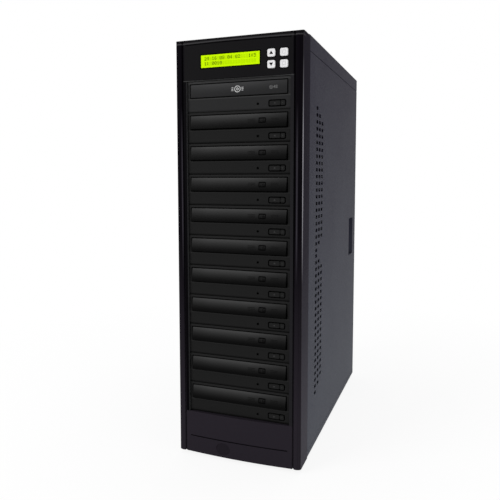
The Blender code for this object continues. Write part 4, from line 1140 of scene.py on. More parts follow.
# Where the painted highlights, painted shade and painted lighter tones of the bezel, the drives' faces and
# the fascias lie.
PAINTED_LIGHT_TOP = 0.33
RIB_HIGHLIGHT_INSET = 0.0016
RIB_HIGHLIGHT_HALF = 0.0007
RIB_HIGHLIGHT_SHIFT = 0.0009
RIB_HIGHLIGHT_BAND = (0.38, 0.05, 0.07)
FLANK_RISE = (0.03, 0.57)
CORNER_HIGHLIGHT_Y = 0.0035
CORNER_HIGHLIGHT_HALF = 0.0006
CORNER_HIGHLIGHT_BAND = (0.41, 0.04, 0.11)
CORNER_HIGHLIGHT_LEAST = 0.08
SWEEP_SOFT = 0.0008
TOP_HIGHLIGHT_DROP = 0.008
TOP_HIGHLIGHT_HALF = 0.0006
BADGE_SHADE = 0.25
LIP_HIGHLIGHT_HALF = 0.0006
FACE_FOOT_SHADE = (0.0006, 0.0028)
FASCIA_FADE = 2.2
FASCIA_HIGHLIGHT_X = 0.012
FASCIA_HIGHLIGHT_REACH = (0.03, 0.075)
FASCIA_END_SHARE = 0.5


def make_looks():
    return {
        "bezel": bezel_plastic("bezel_plastic", BEZEL_TONES, 0.34, 0.002),
        # The case paint's second colour is its painted lighter tone low down.
        "paint": painted("case_paint", (0.0116, 0.0097, 0.0212), (0.0545, 0.0585, 0.0735), 0.42, 0.012),
        "steel": galvanised("galvanised_steel", (0.6, 0.61, 0.62), 0.36),
        "writer_face": face_plastic("drive_plastic", "writer", FACE_TONES["writer"], 0.5, 0.02),
        "reader_face": face_plastic("reader_plastic", "reader", FACE_TONES["reader"], 0.5, 0.02),
        "writer_fascia": fascia_plastic("fascia_plastic", "writer", FASCIA_TONES["writer"], 0.35, 0.02),
        "reader_fascia": fascia_plastic("reader_fascia", "reader", FASCIA_TONES["reader"], 0.4, 0.02),
        "liner": trim_plastic("liner_plastic", TRIM_TONES, 0.5, 0.02),
        "tray": moulded("tray_plastic", (0.012, 0.012, 0.012), 0.35, specular=0.1),
        "eject": moulded("eject_plastic", (0.0105, 0.0105, 0.0105), 0.4, specular=0.03),
        # A near-black tone for the linings that stand in for shade in the drives' gaps.
        "well": moulded("gap_shade_plastic", (0.0008, 0.0008, 0.0008), 0.35, specular=0.005),
        "key": moulded("key_white", (0.63, 0.63, 0.635), 0.42, 1900, 0.00002, 0.2, spread=0.02),
        "ink": moulded("key_ink", (0.004, 0.004, 0.005), 0.5, specular=0.02, spread=0.05),
        "worn_ink": moulded("worn_key_ink", (0.5, 0.5, 0.5), 0.5, specular=0.1, spread=0.05),
        "pale": moulded("pale_print", (0.42, 0.42, 0.42), 0.6, specular=0.1, spread=0.05),
        "dim": moulded("dim_print", (0.13, 0.13, 0.13), 0.6, specular=0.05, spread=0.05),
        "faint": moulded("faint_print", (0.0035, 0.0035, 0.0035), 0.5, specular=0.03, spread=0.05),
        "grey": moulded("grey_print", (0.04, 0.04, 0.04), 0.6, specular=0.05, spread=0.05),
        "black": moulded("black_print", (0.0015, 0.0015, 0.0015), 0.3, specular=0.005, spread=0.05),
        "lens": moulded("lamp_lens", (0.012, 0.014, 0.012), 0.15, specular=0.1, spread=0.04),
        "lcd": lit("display_green", (0.46, 0.73, 0.0005), 0.12),
        "cell": lit("display_cell", (0.39, 0.63, 0.0005), 0.12),
        "segment": moulded("display_ink", (0.02, 0.04, 0.001), 0.4, specular=0.01, spread=0.05),
        "board": solder_mask("circuit_board", (0.012, 0.085, 0.035)),
        "fan": moulded("fan_plastic", (0.012, 0.012, 0.012), 0.5),
        "rubber": moulded("foot_rubber", (0.012, 0.012, 0.012), 0.85, 1500, 0.00008, 0.3),
        "screw": turned_metal("screw_metal", (0.56, 0.56, 0.57), 0.28),
        "brass": turned_metal("contact_brass", (0.72, 0.55, 0.3), 0.25),
        "switch": moulded("switch_plastic", (0.006, 0.006, 0.006), 0.25, specular=0.2, spread=0.06),
    }


# Front bezel


def bezel_half_outline():
    """The bezel's plan outline from its middle to its right rear corner."""
    points = []
    for step in range(BOW_STEPS + 1):
        x = OPENING_HALF * step / BOW_STEPS
        points.append((x, panel_surface(x)))
    lip = OPENING_HALF + LIP_WIDTH
    rib = lip + GROOVE_WIDTH
    rib_end = BODY_HALF - CORNER_RADIUS
    points.append((lip, PANEL_SET))
    points.append((lip, GROOVE_DEPTH))
    points.append((rib, GROOVE_DEPTH))
    for step in range(RIB_STEPS + 1):
        turn = math.pi * step / RIB_STEPS
        across = (rib + rib_end) / 2 - (rib_end - rib) / 2 * math.cos(turn)
        points.append((across, RIB_HEIGHT * (1 - math.sin(turn))))
    centre = (rib_end, RIB_HEIGHT + CORNER_RADIUS)
    points += arc(centre, CORNER_RADIUS, -math.pi / 2, 0, CORNER_STEPS)[1:]
    points.append((BODY_HALF, BEZEL_DEPTH))
    return points


def sweep_cutter():
    """What lies above the bezel's top, which curves down towards the front."""
    curve = []
    for step in range(SWEEP_STEPS + 1):
        turn = math.pi / 2 * step / SWEEP_STEPS
        y = BEZEL_DEPTH * (1 - math.cos(turn)) - PANEL_BOW
        curve.append((y, TOP_Z - TOP_SWEEP_DROP * (1 - math.sin(turn))))
    front = -PANEL_BOW - OVERRUN
    back = BEZEL_DEPTH + OVERRUN
    above = TOP_Z + OVERRUN
    curve[0] = (front, curve[0][1])
    outline = [*curve, (back, TOP_Z), (back, above), (front, above)]
    return prism(outline, "X", -BODY_HALF - OVERRUN, BODY_HALF + OVERRUN)


def shoulder_outline():
    """The bezel seen from the front, with round top corners."""
    centre = (BODY_HALF - CORNER_RADIUS, TOP_Z - CORNER_RADIUS)
    points = [(BODY_HALF, BASE_Z)] + arc(centre, CORNER_RADIUS, 0, math.pi / 2, CORNER_STEPS)
    return points + [(-x, z) for x, z in reversed(points)]


def key_outline(centre, margin):
    """A key's outline seen from the front, with a margin round it."""
    width, height = KEY_WIDTH + 2 * margin, KEY_HEIGHT + 2 * margin
    return rounded((centre.x, centre.z), width, height, KEY_RADIUS + margin / 2)


def key_hole(node):
    centre = middle_of(node)
    outline = key_outline(centre, KEY_HOLE_GAP)
    return prism(outline, "Y", -PANEL_BOW - OVERRUN, BEZEL_WALL + OVERRUN)


def key_shade_rims():
    """Near-black rims that line the keys' holes just under the header's bowed surface, as painted shade in
    the gaps round the keys.
    """
    rims = []
    for node in KEYS:
        centre = middle_of(node)
        outer = key_outline(centre, KEY_HOLE_GAP - PRINT)
        inner = key_outline(centre, TRIM_CLEARANCE)
        rims.append(plate(outer, [inner], "Y", KEY_RIM_SET, KEY_RIM_SET + KEY_RIM_DEPTH))
    rims = gathered(rims)
    for vert in rims.verts:
        vert.co.y += panel_surface(vert.co.x)
    return rims


def bowed_groove(z, half, width, depth):
    """A fine groove across the front that follows its bow."""
    front = []
    back = []
    for step in range(-BOW_STEPS, BOW_STEPS + 1):
        x = half * step / BOW_STEPS
        front.append((x, panel_surface(x) - OVERRUN))
        back.append((x, panel_surface(x) + depth))
    return prism(front + back[::-1], "Z", *centred(z, width))


def drive_liner():
    """The paler trim between the bezel's pillars and the drives, and over the highest one."""
    outer = OPENING_HALF + LIP_WIDTH
    inner = FACE_WIDTH / 2 + GAP
    low = STACK_BOTTOM - RUN_GAP
    high = STACK_TOP + FACE_HEADROOM - MERGE
    outline = [(outer, low), (outer, high), (-outer, high), (-outer, low)]
    outline += [(-inner, low), (-inner, STACK_TOP), (inner, STACK_TOP), (inner, low)]
    return prism(outline, "Y", LINER_FRONT, LINER_BACK)


def window_outline(extra=0.0):
    """The display window's outline, or one a little larger or smaller."""
    margin = 2 * (WINDOW_MARGIN + extra)
    return rounded((LCD_X, LCD_Z), LCD_WIDTH + margin, LCD_HEIGHT + margin, RUN_GAP)


def bezel_shape():
    half = bezel_half_outline()
    outline = half + [(-x, y) for x, y in reversed(half[1:])]
    body = prism(outline, "Z", BASE_Z, TOP_Z)
    shoulders = prism(shoulder_outline(), "Y", -PANEL_BOW - OVERRUN, BEZEL_DEPTH + OVERRUN)
    body = combined(body, shoulders, "INTERSECT")
    inner_half = BODY_HALF - BEZEL_WALL
    pocket_half = OPENING_HALF - BEZEL_WALL
    back = BEZEL_DEPTH + OVERRUN
    opening_top = STACK_TOP + FACE_HEADROOM
    opening_bottom = STACK_BOTTOM - RUN_GAP
    inner_top = TOP_Z - TOP_SWEEP_DROP - BEZEL_WALL
    inner_bottom = BASE_Z + BEZEL_WALL
    cavity = box((-inner_half, inner_half), (PILLAR_DEPTH, back), (inner_bottom, inner_top))
    pocket = (-pocket_half, pocket_half)
    pocket_y = (BEZEL_WALL, PILLAR_DEPTH + OVERRUN)
    header = box(pocket, pocket_y, (opening_top + BEZEL_WALL, inner_top))
    footer = box(pocket, pocket_y, (inner_bottom, opening_bottom - BEZEL_WALL))
    through = (-PANEL_BOW - OVERRUN, PILLAR_DEPTH + OVERRUN)
    opening = box((-OPENING_HALF, OPENING_HALF), through, (opening_bottom, opening_top))
    window = prism(window_outline(), "Y", -PANEL_BOW - OVERRUN, BEZEL_WALL + OVERRUN)
    badge_centre = (BADGE_X, BASE_Z + BADGE_RISE)
    badge_points = [
        (badge_centre[0] + x * BADGE_WIDTH / 2, badge_centre[1] + z * BADGE_HEIGHT / 2)
        for x, z in circle((0, 0), 1, BADGE_SIDES)
    ]
    badge = prism(badge_points, "Y", -PANEL_BOW - OVERRUN, panel_surface(BADGE_X) + BADGE_SINK)
    holes = gathered([key_hole(node) for node in KEYS])
    return carved(
        body,
        sweep_cutter(),
        cavity,
        header,
        footer,
        opening,
        window,
        bowed_groove(TOP_Z - TOP_GROOVE_DROP, OPENING_HALF, TOP_GROOVE_WIDTH, TOP_GROOVE_DEPTH),
        bowed_groove(BASE_Z + FOOTER_SEAM_RISE, OPENING_HALF - LIP_WIDTH, SEAM_WIDTH, SEAM_DEPTH),
        badge,
        holes,
    )


# Display and keys

GLYPHS = {
    "0": "01110 10001 10011 10101 11001 10001 01110",
    "1": "00100 01100 00100 00100 00100 00100 01110",
    "2": "01110 10001 00001 00010 00100 01000 11111",
    "4": "00010 00110 01010 10010 11111 00010 00010",
    "5": "11111 10000 11110 00001 00001 10001 01110",
    "6": "00110 01000 10000 11110 10001 10001 01110",
    "8": "01110 10001 10001 01110 10001 10001 01110",
    ":": "00000 01100 01100 00000 01100 01100 00000",
}
LCD_LINES = ("24 16 08 04 02   1:52", "1: 0010")


def glyph_dots(sign, x, z, front):
    """The dots of one sign about the middle of its cell."""
    dots = []
    for down, line in enumerate(GLYPHS.get(sign, "").split()):
        for across, mark in enumerate(line):
            if mark == "1":
                dot_x = centred(x + (across - (LCD_CELL_DOTS[0] - 1) / 2) * LCD_DOT_PITCH, LCD_DOT)
                dot_z = centred(z + ((LCD_CELL_DOTS[1] - 1) / 2 - down) * LCD_DOT_PITCH, LCD_DOT)
                dots.append(box(dot_x, (front - LCD_INK, front + GAP), dot_z))
    return dots


def lcd_text(front):
    """The display's cells, and the dots of the plain numbers in them."""
    cells = []
    signs = []
    left = LCD_X - (LCD_COLUMNS - 1) / 2 * LCD_CELL_PITCH
    cell_y = (front - LCD_INK / 2, front + GAP)
    width, height = (dots * LCD_DOT_PITCH for dots in LCD_CELL_DOTS)
    for row, text in enumerate(LCD_LINES):
        z = LCD_Z + (0.5 - row) * LCD_ROW_PITCH
        for column, sign in enumerate(text.ljust(LCD_COLUMNS)[:LCD_COLUMNS]):
            x = left + column * LCD_CELL_PITCH
            cells.append(box(centred(x, width), cell_y, centred(z, height)))
            signs += glyph_dots(sign, x, z, front)
    return gathered(cells), gathered(signs)


def key_switches(frame_front, board_front):
    """The switch body on the board behind each key, and its button."""
    switches = []
    buttons = []
    flange_back = frame_front + KEY_FLANGE_THICKNESS
    for node in KEYS:
        centre = middle_of(node)
        x, z = centred(centre.x, SWITCH_SIZE), centred(centre.z, SWITCH_SIZE)
        switches.append(box(x, (flange_back + SWITCH_SET, board_front + GAP), z))
        stem = [(SWITCH_STEM_RADIUS, flange_back + y) for y in SWITCH_STEM]
        buttons.append(lathe("Y", (centre.x, centre.z), stem, PIN_SIDES))
    return gathered(switches), gathered(buttons)


def board_posts(low, high, frame_front, board_front):
    """The posts that hold the board to the bezel, clear of the display and the keys."""
    key_edge = middle_of("key_up").x - KEY_WIDTH / 2 - KEY_FLANGE
    post_x = (low.x + POST_INSET, (LCD_X + LCD_WIDTH / 2 + LCD_FRAME_MARGIN + key_edge) / 2)
    post_z = (low.z + POST_INSET, high.z - POST_INSET)
    profile = [(POST_RADIUS, frame_front), (POST_RADIUS, board_front + GAP)]
    return gathered([lathe("Y", (x, z), profile, PIN_SIDES) for x in post_x for z in post_z])


def display_parts(look):
    """The lit panel with its cells and numbers, its frame, the board, key switches and posts."""
    low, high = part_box("display_board")
    board_back = high.y - FRONT
    board_front = board_back - BOARD_THICKNESS
    frame_front = BEZEL_WALL + GAP
    glass_front = panel_surface(LCD_X) + LCD_GLASS_SET + LCD_INK
    margin = 2 * LCD_FRAME_MARGIN
    outer = rounded((LCD_X, LCD_Z), LCD_WIDTH + margin, LCD_HEIGHT + margin, LCD_FRAME_CORNER)
    glass = rounded((LCD_X, LCD_Z), LCD_WIDTH, LCD_HEIGHT, RUN_GAP / 2)
    rim = plate(window_outline(-PRINT), [glass], "Y", glass_front - LCD_RIM_PROUD, frame_front + GAP)
    panel = box(centred(LCD_X, LCD_WIDTH), (glass_front, frame_front + GAP), centred(LCD_Z, LCD_HEIGHT))
    board = box((low.x, high.x), (board_front, board_back), (low.z, high.z))
    cells, dots = lcd_text(glass_front)
    switches, buttons = key_switches(frame_front, board_front)
    return [
        (board, look["board"], HARD_EDGE),
        (prism(outer, "Y", frame_front, board_front + GAP), look["black"], EDGE),
        (rim, look["black"], 0),
        (panel, look["lcd"], FINE_EDGE),
        (cells, look["cell"], 0),
        (dots, look["segment"], 0),
        (switches, look["screw"], EDGE),
        (buttons, look["switch"], FINE_EDGE),
        (board_posts(low, high, frame_front, board_front), look["bezel"], FINE_EDGE),
    ]


def key_sign(kind, front):
    """A small plain sign in the middle of a key."""
    half = SIGN_SIZE / 2
    back = front + GAP
    if kind in ("up", "down"):
        way = 1 if kind == "up" else -1
        foot = -way * half * SIGN_FOOT_SHARE
        return prism([(-half, foot), (half, foot), (0, way * half * SIGN_TOP_SHARE)], "Y", front, back)
    if kind == "ring":
        outer, inner = (circle((0, 0), radius, RING_SIDES) for radius in (half, half - SIGN_RING))
    else:
        side = SIGN_SIZE * SIGN_TOP_SHARE
        outer = rounded((0, 0), side, side, 4 * SIGN_CORNER)
        inner = rounded((0, 0), side - 2 * SIGN_RING, side - 2 * SIGN_RING, SIGN_CORNER)
    return plate(outer, [inner], "Y", front, back)


def cap_ring(form, shrink, y, extra=0.0):
    """A cap's outline at y, from its (width, height, corner, least corner), smaller by shrink."""
    width, height, radius, least = form
    grown = 2 * (extra - shrink)
    outline = rounded((0, 0), width + grown, height + grown, max(radius - shrink, least))
    return [turned("Y", y, point) for point in outline]


def cap_rings(form, flange, flange_y, face, edge):
    """A cap's rings from its flange's back to the end of its rounded front edge."""
    front, back = flange_y
    rings = [cap_ring(form, 0, back, flange), cap_ring(form, 0, front, flange), cap_ring(form, 0, front)]
    for step in range(CAP_STEPS + 1):
        turn = math.pi / 2 * step / CAP_STEPS
        rings.append(cap_ring(form, edge * (1 - math.cos(turn)), face + edge * (1 - math.sin(turn))))
    return rings


def key_parts(look, node, kind):
    """A dished key cap about its own centre, with its sign in the dish."""
    face = panel_surface(middle_of(node).x) - KEY_PROUD
    form = (KEY_WIDTH, KEY_HEIGHT, KEY_RADIUS, KEY_LEAST_RADIUS)
    front = BEZEL_WALL + GAP
    rings = cap_rings(form, KEY_FLANGE, (front, front + KEY_FLANGE_THICKNESS), face, KEY_EDGE)
    for step in range(1, CAP_STEPS + 1):
        share = step / CAP_STEPS
        y = face + KEY_DISH * math.sin(math.pi / 2 * share)
        rings.append(cap_ring(form, KEY_EDGE + KEY_DISH_RUN * share, y))
    ink = look["ink"] if kind in ("up", "down") else look["worn_ink"]
    return [(loft(rings), look["key"], 0), (key_sign(kind, face + KEY_DISH - 2 * PRINT), ink, 0)]


# Optical drives, each about its face's front plane and lower edge


def drive_case(kind):
    """The open-fronted steel case with the ledges that the tray runs on."""
    low, _, _ = TRAY_FORMS[kind]
    case_bottom = (FACE_HEIGHT - DRIVE_CASE_HEIGHT) / 2
    case_top = case_bottom + DRIVE_CASE_HEIGHT
    rear = FACE_THICKNESS + DRIVE_CASE_DEPTH
    middle = (0, (case_bottom + case_top) / 2)
    outer = rounded(middle, DRIVE_CASE_WIDTH, DRIVE_CASE_HEIGHT, DRIVE_CASE_CORNER, 3)
    body = prism(outer, "Y", FACE_THICKNESS - GAP, rear)
    inner = DRIVE_CASE_WIDTH / 2 - DRIVE_WALL
    ledge_edge = TRAY_PLATE_WIDTH / 2 - LEDGE_LAP
    ledge_top = low + TRAY_PLATE_RISE - GAP
    ledge_low = ledge_top - LEDGE_THICKNESS
    half = [
        (inner, case_bottom + DRIVE_WALL),
        (inner, ledge_low),
        (ledge_edge, ledge_low),
        (ledge_edge, ledge_top),
        (inner, ledge_top),
        (inner, case_top - DRIVE_WALL),
    ]
    section = half + [(-x, z) for x, z in reversed(half)]
    return carved(body, prism(section, "Y", FACE_THICKNESS - OVERRUN, rear - DRIVE_WALL))


def tray_outline(kind, margin):
    """A tray fascia's outline seen from the front, with a margin round it."""
    low, high, _ = TRAY_FORMS[kind]
    size = (TRAY_WIDTH + 2 * margin, high - low + 2 * margin)
    return rounded((0, (low + high) / 2), *size, FACE_CORNER)


def eject_outline(margin):
    """The eject button's outline seen from the front, with a margin round it."""
    width, height = EJECT_WIDTH + 2 * margin, EJECT_HEIGHT + 2 * margin
    return rounded((EJECT_X, EJECT_RISE), width, height, EJECT_RADIUS + margin)


def recess_outline(trim=0.0):
    """The outline of the recess that holds the eject button and the lamp's pad."""
    middle = EJECT_X - EJECT_WIDTH / 2 - RECESS_MARGIN + RECESS_WIDTH / 2
    return rounded((middle, EJECT_RISE), RECESS_WIDTH - trim, RECESS_HEIGHT - trim, RECESS_RADIUS - trim)


def face_shape(kind):
    """The moulded face with the tray's opening, the eject recess and the release hole."""
    outline = rounded((0, FACE_HEIGHT / 2), FACE_WIDTH, FACE_HEIGHT, FACE_CORNER)
    centre = (RELEASE_X, EJECT_RISE)
    release = circle(centre, RELEASE_RADIUS, PIN_SIDES)
    holes = [tray_outline(kind, TRAY_GAP), eject_outline(RUN_GAP), release]
    dimple = circle(centre, RELEASE_RADIUS + RELEASE_RIM, HEAD_SIDES)
    return carved(
        plate(outline, holes, "Y", 0, FACE_THICKNESS),
        prism(recess_outline(), "Y", -OVERRUN, RECESS_DEPTH),
        prism(dimple, "Y", -OVERRUN, RELEASE_RIM),
    )


def gap_shade_linings(kind):
    """Near-black sheets lining the tray's opening, the eject recess and the release hole, as painted shade
    in these gaps.
    """
    centre = (RELEASE_X, EJECT_RISE)
    rim = circle(centre, RELEASE_RADIUS + RELEASE_RIM - PRINT, HEAD_SIDES)
    bore = circle(centre, RELEASE_RADIUS - RELEASE_RIM, PIN_SIDES)
    opening = (tray_outline(kind, TRAY_GAP - PRINT), [tray_outline(kind, TRIM_CLEARANCE)])
    recess = (recess_outline(PRINT), [eject_outline(RUN_GAP)])
    return gathered(
        [
            plate(*opening, "Y", TRIM_SET, FACE_THICKNESS - GAP),
            plate(*recess, "Y", RECESS_DEPTH - 3 * PRINT, RECESS_DEPTH + GAP),
            plate(rim, [bore], "Y", RELEASE_RIM - PRINT, FACE_THICKNESS),
        ]
    )


def lamp_pad():
    """The pad beside the eject button, and the small lamp lens in it."""
    left = EJECT_X + EJECT_WIDTH / 2 + RUN_GAP
    right = EJECT_X - EJECT_WIDTH / 2 - 2 * RECESS_MARGIN + RECESS_WIDTH
    middle = ((left + right) / 2, EJECT_RISE)
    outline = rounded(middle, right - left, EJECT_HEIGHT, EJECT_RADIUS)
    pad = prism(outline, "Y", -EJECT_PROUD / 2, RECESS_DEPTH + GAP)
    lens = [(LED_RADIUS * radius, -EJECT_PROUD * rise) for radius, rise in LENS_RINGS]
    return pad, lathe("Y", middle, lens, PIN_SIDES)


def drive_parts(look, kind):
    pad, lens = lamp_pad()
    return [
        (face_shape(kind), look[kind + "_face"], SOFT_EDGE),
        (gap_shade_linings(kind), look["well"], 0),
        (pad, look["eject"], EDGE),
        (lens, look["lens"], 0),
        (drive_case(kind), look["steel"], FINE_EDGE),
    ]


def ring_mark(centre, outer):
    """A disc pictogram: a ring with a hub ring inside it."""
    rings = []
    for share, hole in RING_SHARES:
        outline, inner = (circle(centre, outer * part, RING_SIDES) for part in (share, hole))
        rings.append(plate(outline, [inner], "Y", -PRINT, GAP))
    return gathered(rings)


def bars(centre, width):
    """A short stack of plain lines."""
    lines = []
    for step in range(-(MARK_LINES // 2), MARK_LINES // 2 + 1):
        z = centre[1] + step * MARK_PITCH
        lines.append(box(centred(centre[0], width), (-PRINT, GAP), centred(z, MARK_PITCH * MARK_LINE_SHARE)))
    return gathered(lines)


def framed_number(number, centre):
    """A plain number in a thin round-cornered frame."""
    outer_corner, inner_corner = MARK_FRAME_CORNERS
    line = 2 * MARK_FRAME_LINE
    outer = rounded(centre, MARK_FRAME_WIDTH, MARK_FRAME_HEIGHT, outer_corner)
    inner = rounded(centre, MARK_FRAME_WIDTH - line, MARK_FRAME_HEIGHT - line, inner_corner)
    frame = plate(outer, [inner], "Y", -PRINT, GAP)
    return gathered([frame, numerals(number, MARK_NUMBER_HEIGHT, centre, 0)])


def fascia_marks(kind):
    """A fascia's plain marks: a disc sign with its lines, or a framed number between lines."""
    low, high, _ = TRAY_FORMS[kind]
    z = (low + high) / 2
    if kind == "reader":
        lines = [bars((x, z), DISC_LINES_WIDTH) for x in (-DISC_LINES_X, DISC_LINES_X)]
        number = numerals("48", READER_NUMBER_HEIGHT, (READER_NUMBER_X, z), 0)
        dim = gathered([number, ring_mark((READER_RING_X, z), READER_RING_RADIUS)])
        marks = [(gathered([ring_mark((0, z), DISC_RADIUS), *lines]), "pale"), (dim, "dim")]
    else:
        lines = [bars((x, z), MARK_FAINT_WIDTH) for x in (MARK_LEFT_X, MARK_RIGHT_X)]
        marks = [(framed_number("16", (MARK_FRAME_X, z)), "black"), (gathered(lines), "faint")]
    for shape, _ in marks:
        for vert in shape.verts:
            vert.co.y += fascia_front(kind, vert.co.z)
    return marks


def fascia_front(kind, z):
    """Where the fascia's front surface lies at height z above the face's lower edge."""
    low, high, bulge = TRAY_FORMS[kind]
    share = (high - z) / (high - low)
    return -(TRAY_EDGE_PROUD + (bulge - TRAY_EDGE_PROUD) * math.sin(math.pi / 2 * share))


def tray_plate(kind):
    """The tray's plate with a well for each disc size and the slot for the spindle."""
    bottom = TRAY_FORMS[kind][0] + TRAY_PLATE_RISE
    top = bottom + TRAY_PLATE_THICKNESS
    front = FASCIA_THICKNESS / 2
    rear = FASCIA_THICKNESS + TRAY_PLATE_LENGTH
    sheet = rounded((0, (front + rear) / 2), TRAY_PLATE_WIDTH, rear - front, TRAY_PLATE_CORNER)
    centre = (0, FASCIA_THICKNESS + WELL_FRONT_RIM + WELL_RADIUS)
    floor = top - WELL_DEPTH
    well = circle(centre, WELL_RADIUS, WELL_SIDES)
    small = circle(centre, SMALL_WELL_RADIUS, WELL_SIDES)
    half = SPINDLE_SLOT_WIDTH / 2
    slot = [(half, rear + OVERRUN), (-half, rear + OVERRUN)]
    slot += arc(centre, half, math.pi, math.tau, HEAD_SIDES)
    return carved(
        prism(sheet, "Z", bottom, top),
        prism(well, "Z", floor, top + OVERRUN),
        prism(small, "Z", floor - SMALL_WELL_DEPTH, top + OVERRUN),
        prism(slot, "Z", bottom - OVERRUN, top + OVERRUN),
    )


def tray_parts(look, kind):
    """The bulging fascia with its plain marks, and the plate behind it."""
    low, high, _ = TRAY_FORMS[kind]
    outline = [(FASCIA_THICKNESS, low), (FASCIA_THICKNESS, high)]
    for step in range(FASCIA_STEPS + 1):
        z = high - (high - low) * step / FASCIA_STEPS
        outline.append((fascia_front(kind, z), z))
    fascia = prism(outline, "X", *centred(0, TRAY_WIDTH))
    marks = [(shape, look[tone], 0) for shape, tone in fascia_marks(kind)]
    return [
        (fascia, look[kind + "_fascia"], FASCIA_EDGE),
        (tray_plate(kind), look["tray"], EDGE),
        *marks,
    ]


def eject_parts(look):
    """An eject button about its own centre, with its flange and its sign."""
    form = (EJECT_WIDTH, EJECT_HEIGHT, EJECT_RADIUS, EJECT_LEAST_SHARE * EJECT_RADIUS)
    flange_y = (FACE_THICKNESS + GAP, FACE_THICKNESS + GAP + EJECT_FLANGE_THICKNESS)
    rings = cap_rings(form, EJECT_FLANGE, flange_y, PRINT - EJECT_PROUD, EJECT_EDGE)
    sign_y = (-EJECT_PROUD, 2 * PRINT - EJECT_PROUD)
    half, (low, high) = ARROW_WIDTH / 2, ARROW_SPAN
    arrow = prism([(-half, low), (half, low), (0, high)], "Y", *sign_y)
    bar = box((-half, half), sign_y, ARROW_BAR)
    return [(loft(rings), look["eject"], 0), (gathered([arrow, bar]), look["grey"], 0)]


# Folded steel panels


def base_parts(look):
    """The base pan with its side flanges and its front flange."""
    edge = BASE_Z + BASE_FLANGE
    path = [(-CASE_HALF, edge), (-CASE_HALF, BASE_Z), (CASE_HALF, BASE_Z), (CASE_HALF, edge)]
    pan = prism(folded(path), "Y", CASE_FRONT, CASE_DEPTH)
    front_half = CASE_INNER_HALF - PANEL_FRONT_FLANGE - GAP
    front_z = (BASE_Z + SHEET / 2, BASE_Z + BASE_FRONT_FLANGE)
    front = box((-front_half, front_half), (CASE_FRONT, CASE_FRONT + SHEET), front_z)
    return [(joined(pan, front), look["paint"], SHEET_EDGE)]


def top_parts(look):
    edge = TOP_Z - TOP_FLANGE
    path = [(CASE_HALF, edge), (CASE_HALF, TOP_Z), (-CASE_HALF, TOP_Z), (-CASE_HALF, edge)]
    return [(prism(folded(path), "Y", CASE_FRONT, CASE_DEPTH), look["paint"], SHEET_EDGE)]


def vent_cutter():
    """Two blocks of slots on a straight grid, with their first and last rows stepped."""
    slots = []
    block_pitch = (VENT_ROWS - 1) * VENT_PITCH_Z + VENT_BLOCK_STEP
    for block in range(VENT_BLOCKS):
        for row in range(VENT_ROWS):
            z = TOP_Z - VENT_DROP - block * block_pitch - row * VENT_PITCH_Z
            for column in range(min(VENT_COLUMNS, row + 1, VENT_ROWS - row)):
                y = VENT_FRONT + column * VENT_PITCH_Y
                outline = rounded((y, z), VENT_LENGTH, VENT_HEIGHT, VENT_CORNER, 3)
                slots.append(prism(outline, "X", CASE_INNER_HALF - OVERRUN, CASE_HALF + OVERRUN))
    return gathered(slots)


def pull_outline(mouth, skin):
    """A finger pull in plan, `skin` thick: a long slope in from the front and a steep rear wall."""
    rear = PULL_FRONT + PULL_LENGTH
    floor = CASE_HALF - PULL_DEPTH - skin
    floor_rear = rear - PULL_WALL_SLANT
    return [
        (mouth, PULL_FRONT - skin),
        (floor, floor_rear - skin / 2),
        (floor, floor_rear + skin),
        (mouth, rear + skin),
    ]


def side_shape():
    """The right side panel: a folded sheet with its hooks, vents, finger pull and screw holes."""
    path = [
        (CASE_INNER_HALF - PANEL_FRONT_FLANGE, CASE_FRONT),
        (CASE_HALF, CASE_FRONT),
        (CASE_HALF, FLANGE_REAR),
        (CASE_HALF - PANEL_REAR_FLANGE, FLANGE_REAR),
    ]
    body = prism(folded(path), "Z", PANEL_BOTTOM, PANEL_TOP)
    hook_x = (CASE_INNER_HALF - GAP - SHEET, CASE_INNER_HALF - GAP)
    pad_x = (hook_x[0], CASE_INNER_HALF + SHEET / 2)
    hook_y = (CASE_FRONT + HOOK_FRONT_INSET, CASE_DEPTH - REAR_SIDE_FLANGE - HOOK_REAR_INSET)
    for edge, way in ((PANEL_TOP, 1), (PANEL_BOTTOM, -1)):
        lap = sorted((edge - way * HOOK_LAP, edge))
        reach = sorted((edge - way * HOOK_LAP / 2, edge + way * HOOK_HEIGHT))
        body = joined(body, box(pad_x, hook_y, lap), box(hook_x, hook_y, reach))
    pull_z = TOP_Z - PULL_DROP
    low, high = centred(pull_z, PULL_HEIGHT)
    middle = CASE_INNER_HALF + SHEET / 2
    cup = prism(pull_outline(middle, SHEET), "Z", low - SHEET, high + SHEET)
    hollow_outline = pull_outline(CASE_HALF, 0)
    ends = (hollow_outline[0], hollow_outline[-1])
    outside = [(CASE_HALF + OVERRUN, y) for _, y in reversed(ends)]
    hollow = prism(hollow_outline + outside, "Z", low, high)
    mouth = rounded((PULL_FRONT + PULL_LENGTH / 2, pull_z), PULL_LENGTH, PULL_HEIGHT, PULL_CORNER)
    mouth_plug = prism(mouth, "X", CASE_HALF - PULL_DEPTH - OVERRUN, CASE_HALF + 2 * OVERRUN)
    hollow = combined(hollow, mouth_plug, "INTERSECT")
    holes = []
    for z in SCREW_LEVELS:
        outline = circle((CASE_HALF - SCREW_INSET_X, z), HOLE_RADIUS, PIN_SIDES)
        holes.append(prism(outline, "Y", CASE_DEPTH, FLANGE_REAR + OVERRUN))
    return carved(joined(body, cup), hollow, vent_cutter(), gathered(holes))


def grille_slots():
    """The slots behind the exhaust fan, each as long as the fan's bore is wide there."""
    slots = []
    for row in range(-GRILLE_ROWS, GRILLE_ROWS + 1):
        z = row * GRILLE_PITCH
        half = math.sqrt(FAN_BORE_RADIUS**2 - (abs(z) + GRILLE_SLOT_HEIGHT / 2) ** 2)
        slots.append(rounded((0, FAN_Z + z), 2 * half, GRILLE_SLOT_HEIGHT, GRILLE_SLOT_HEIGHT / 2 - MERGE))
    return slots


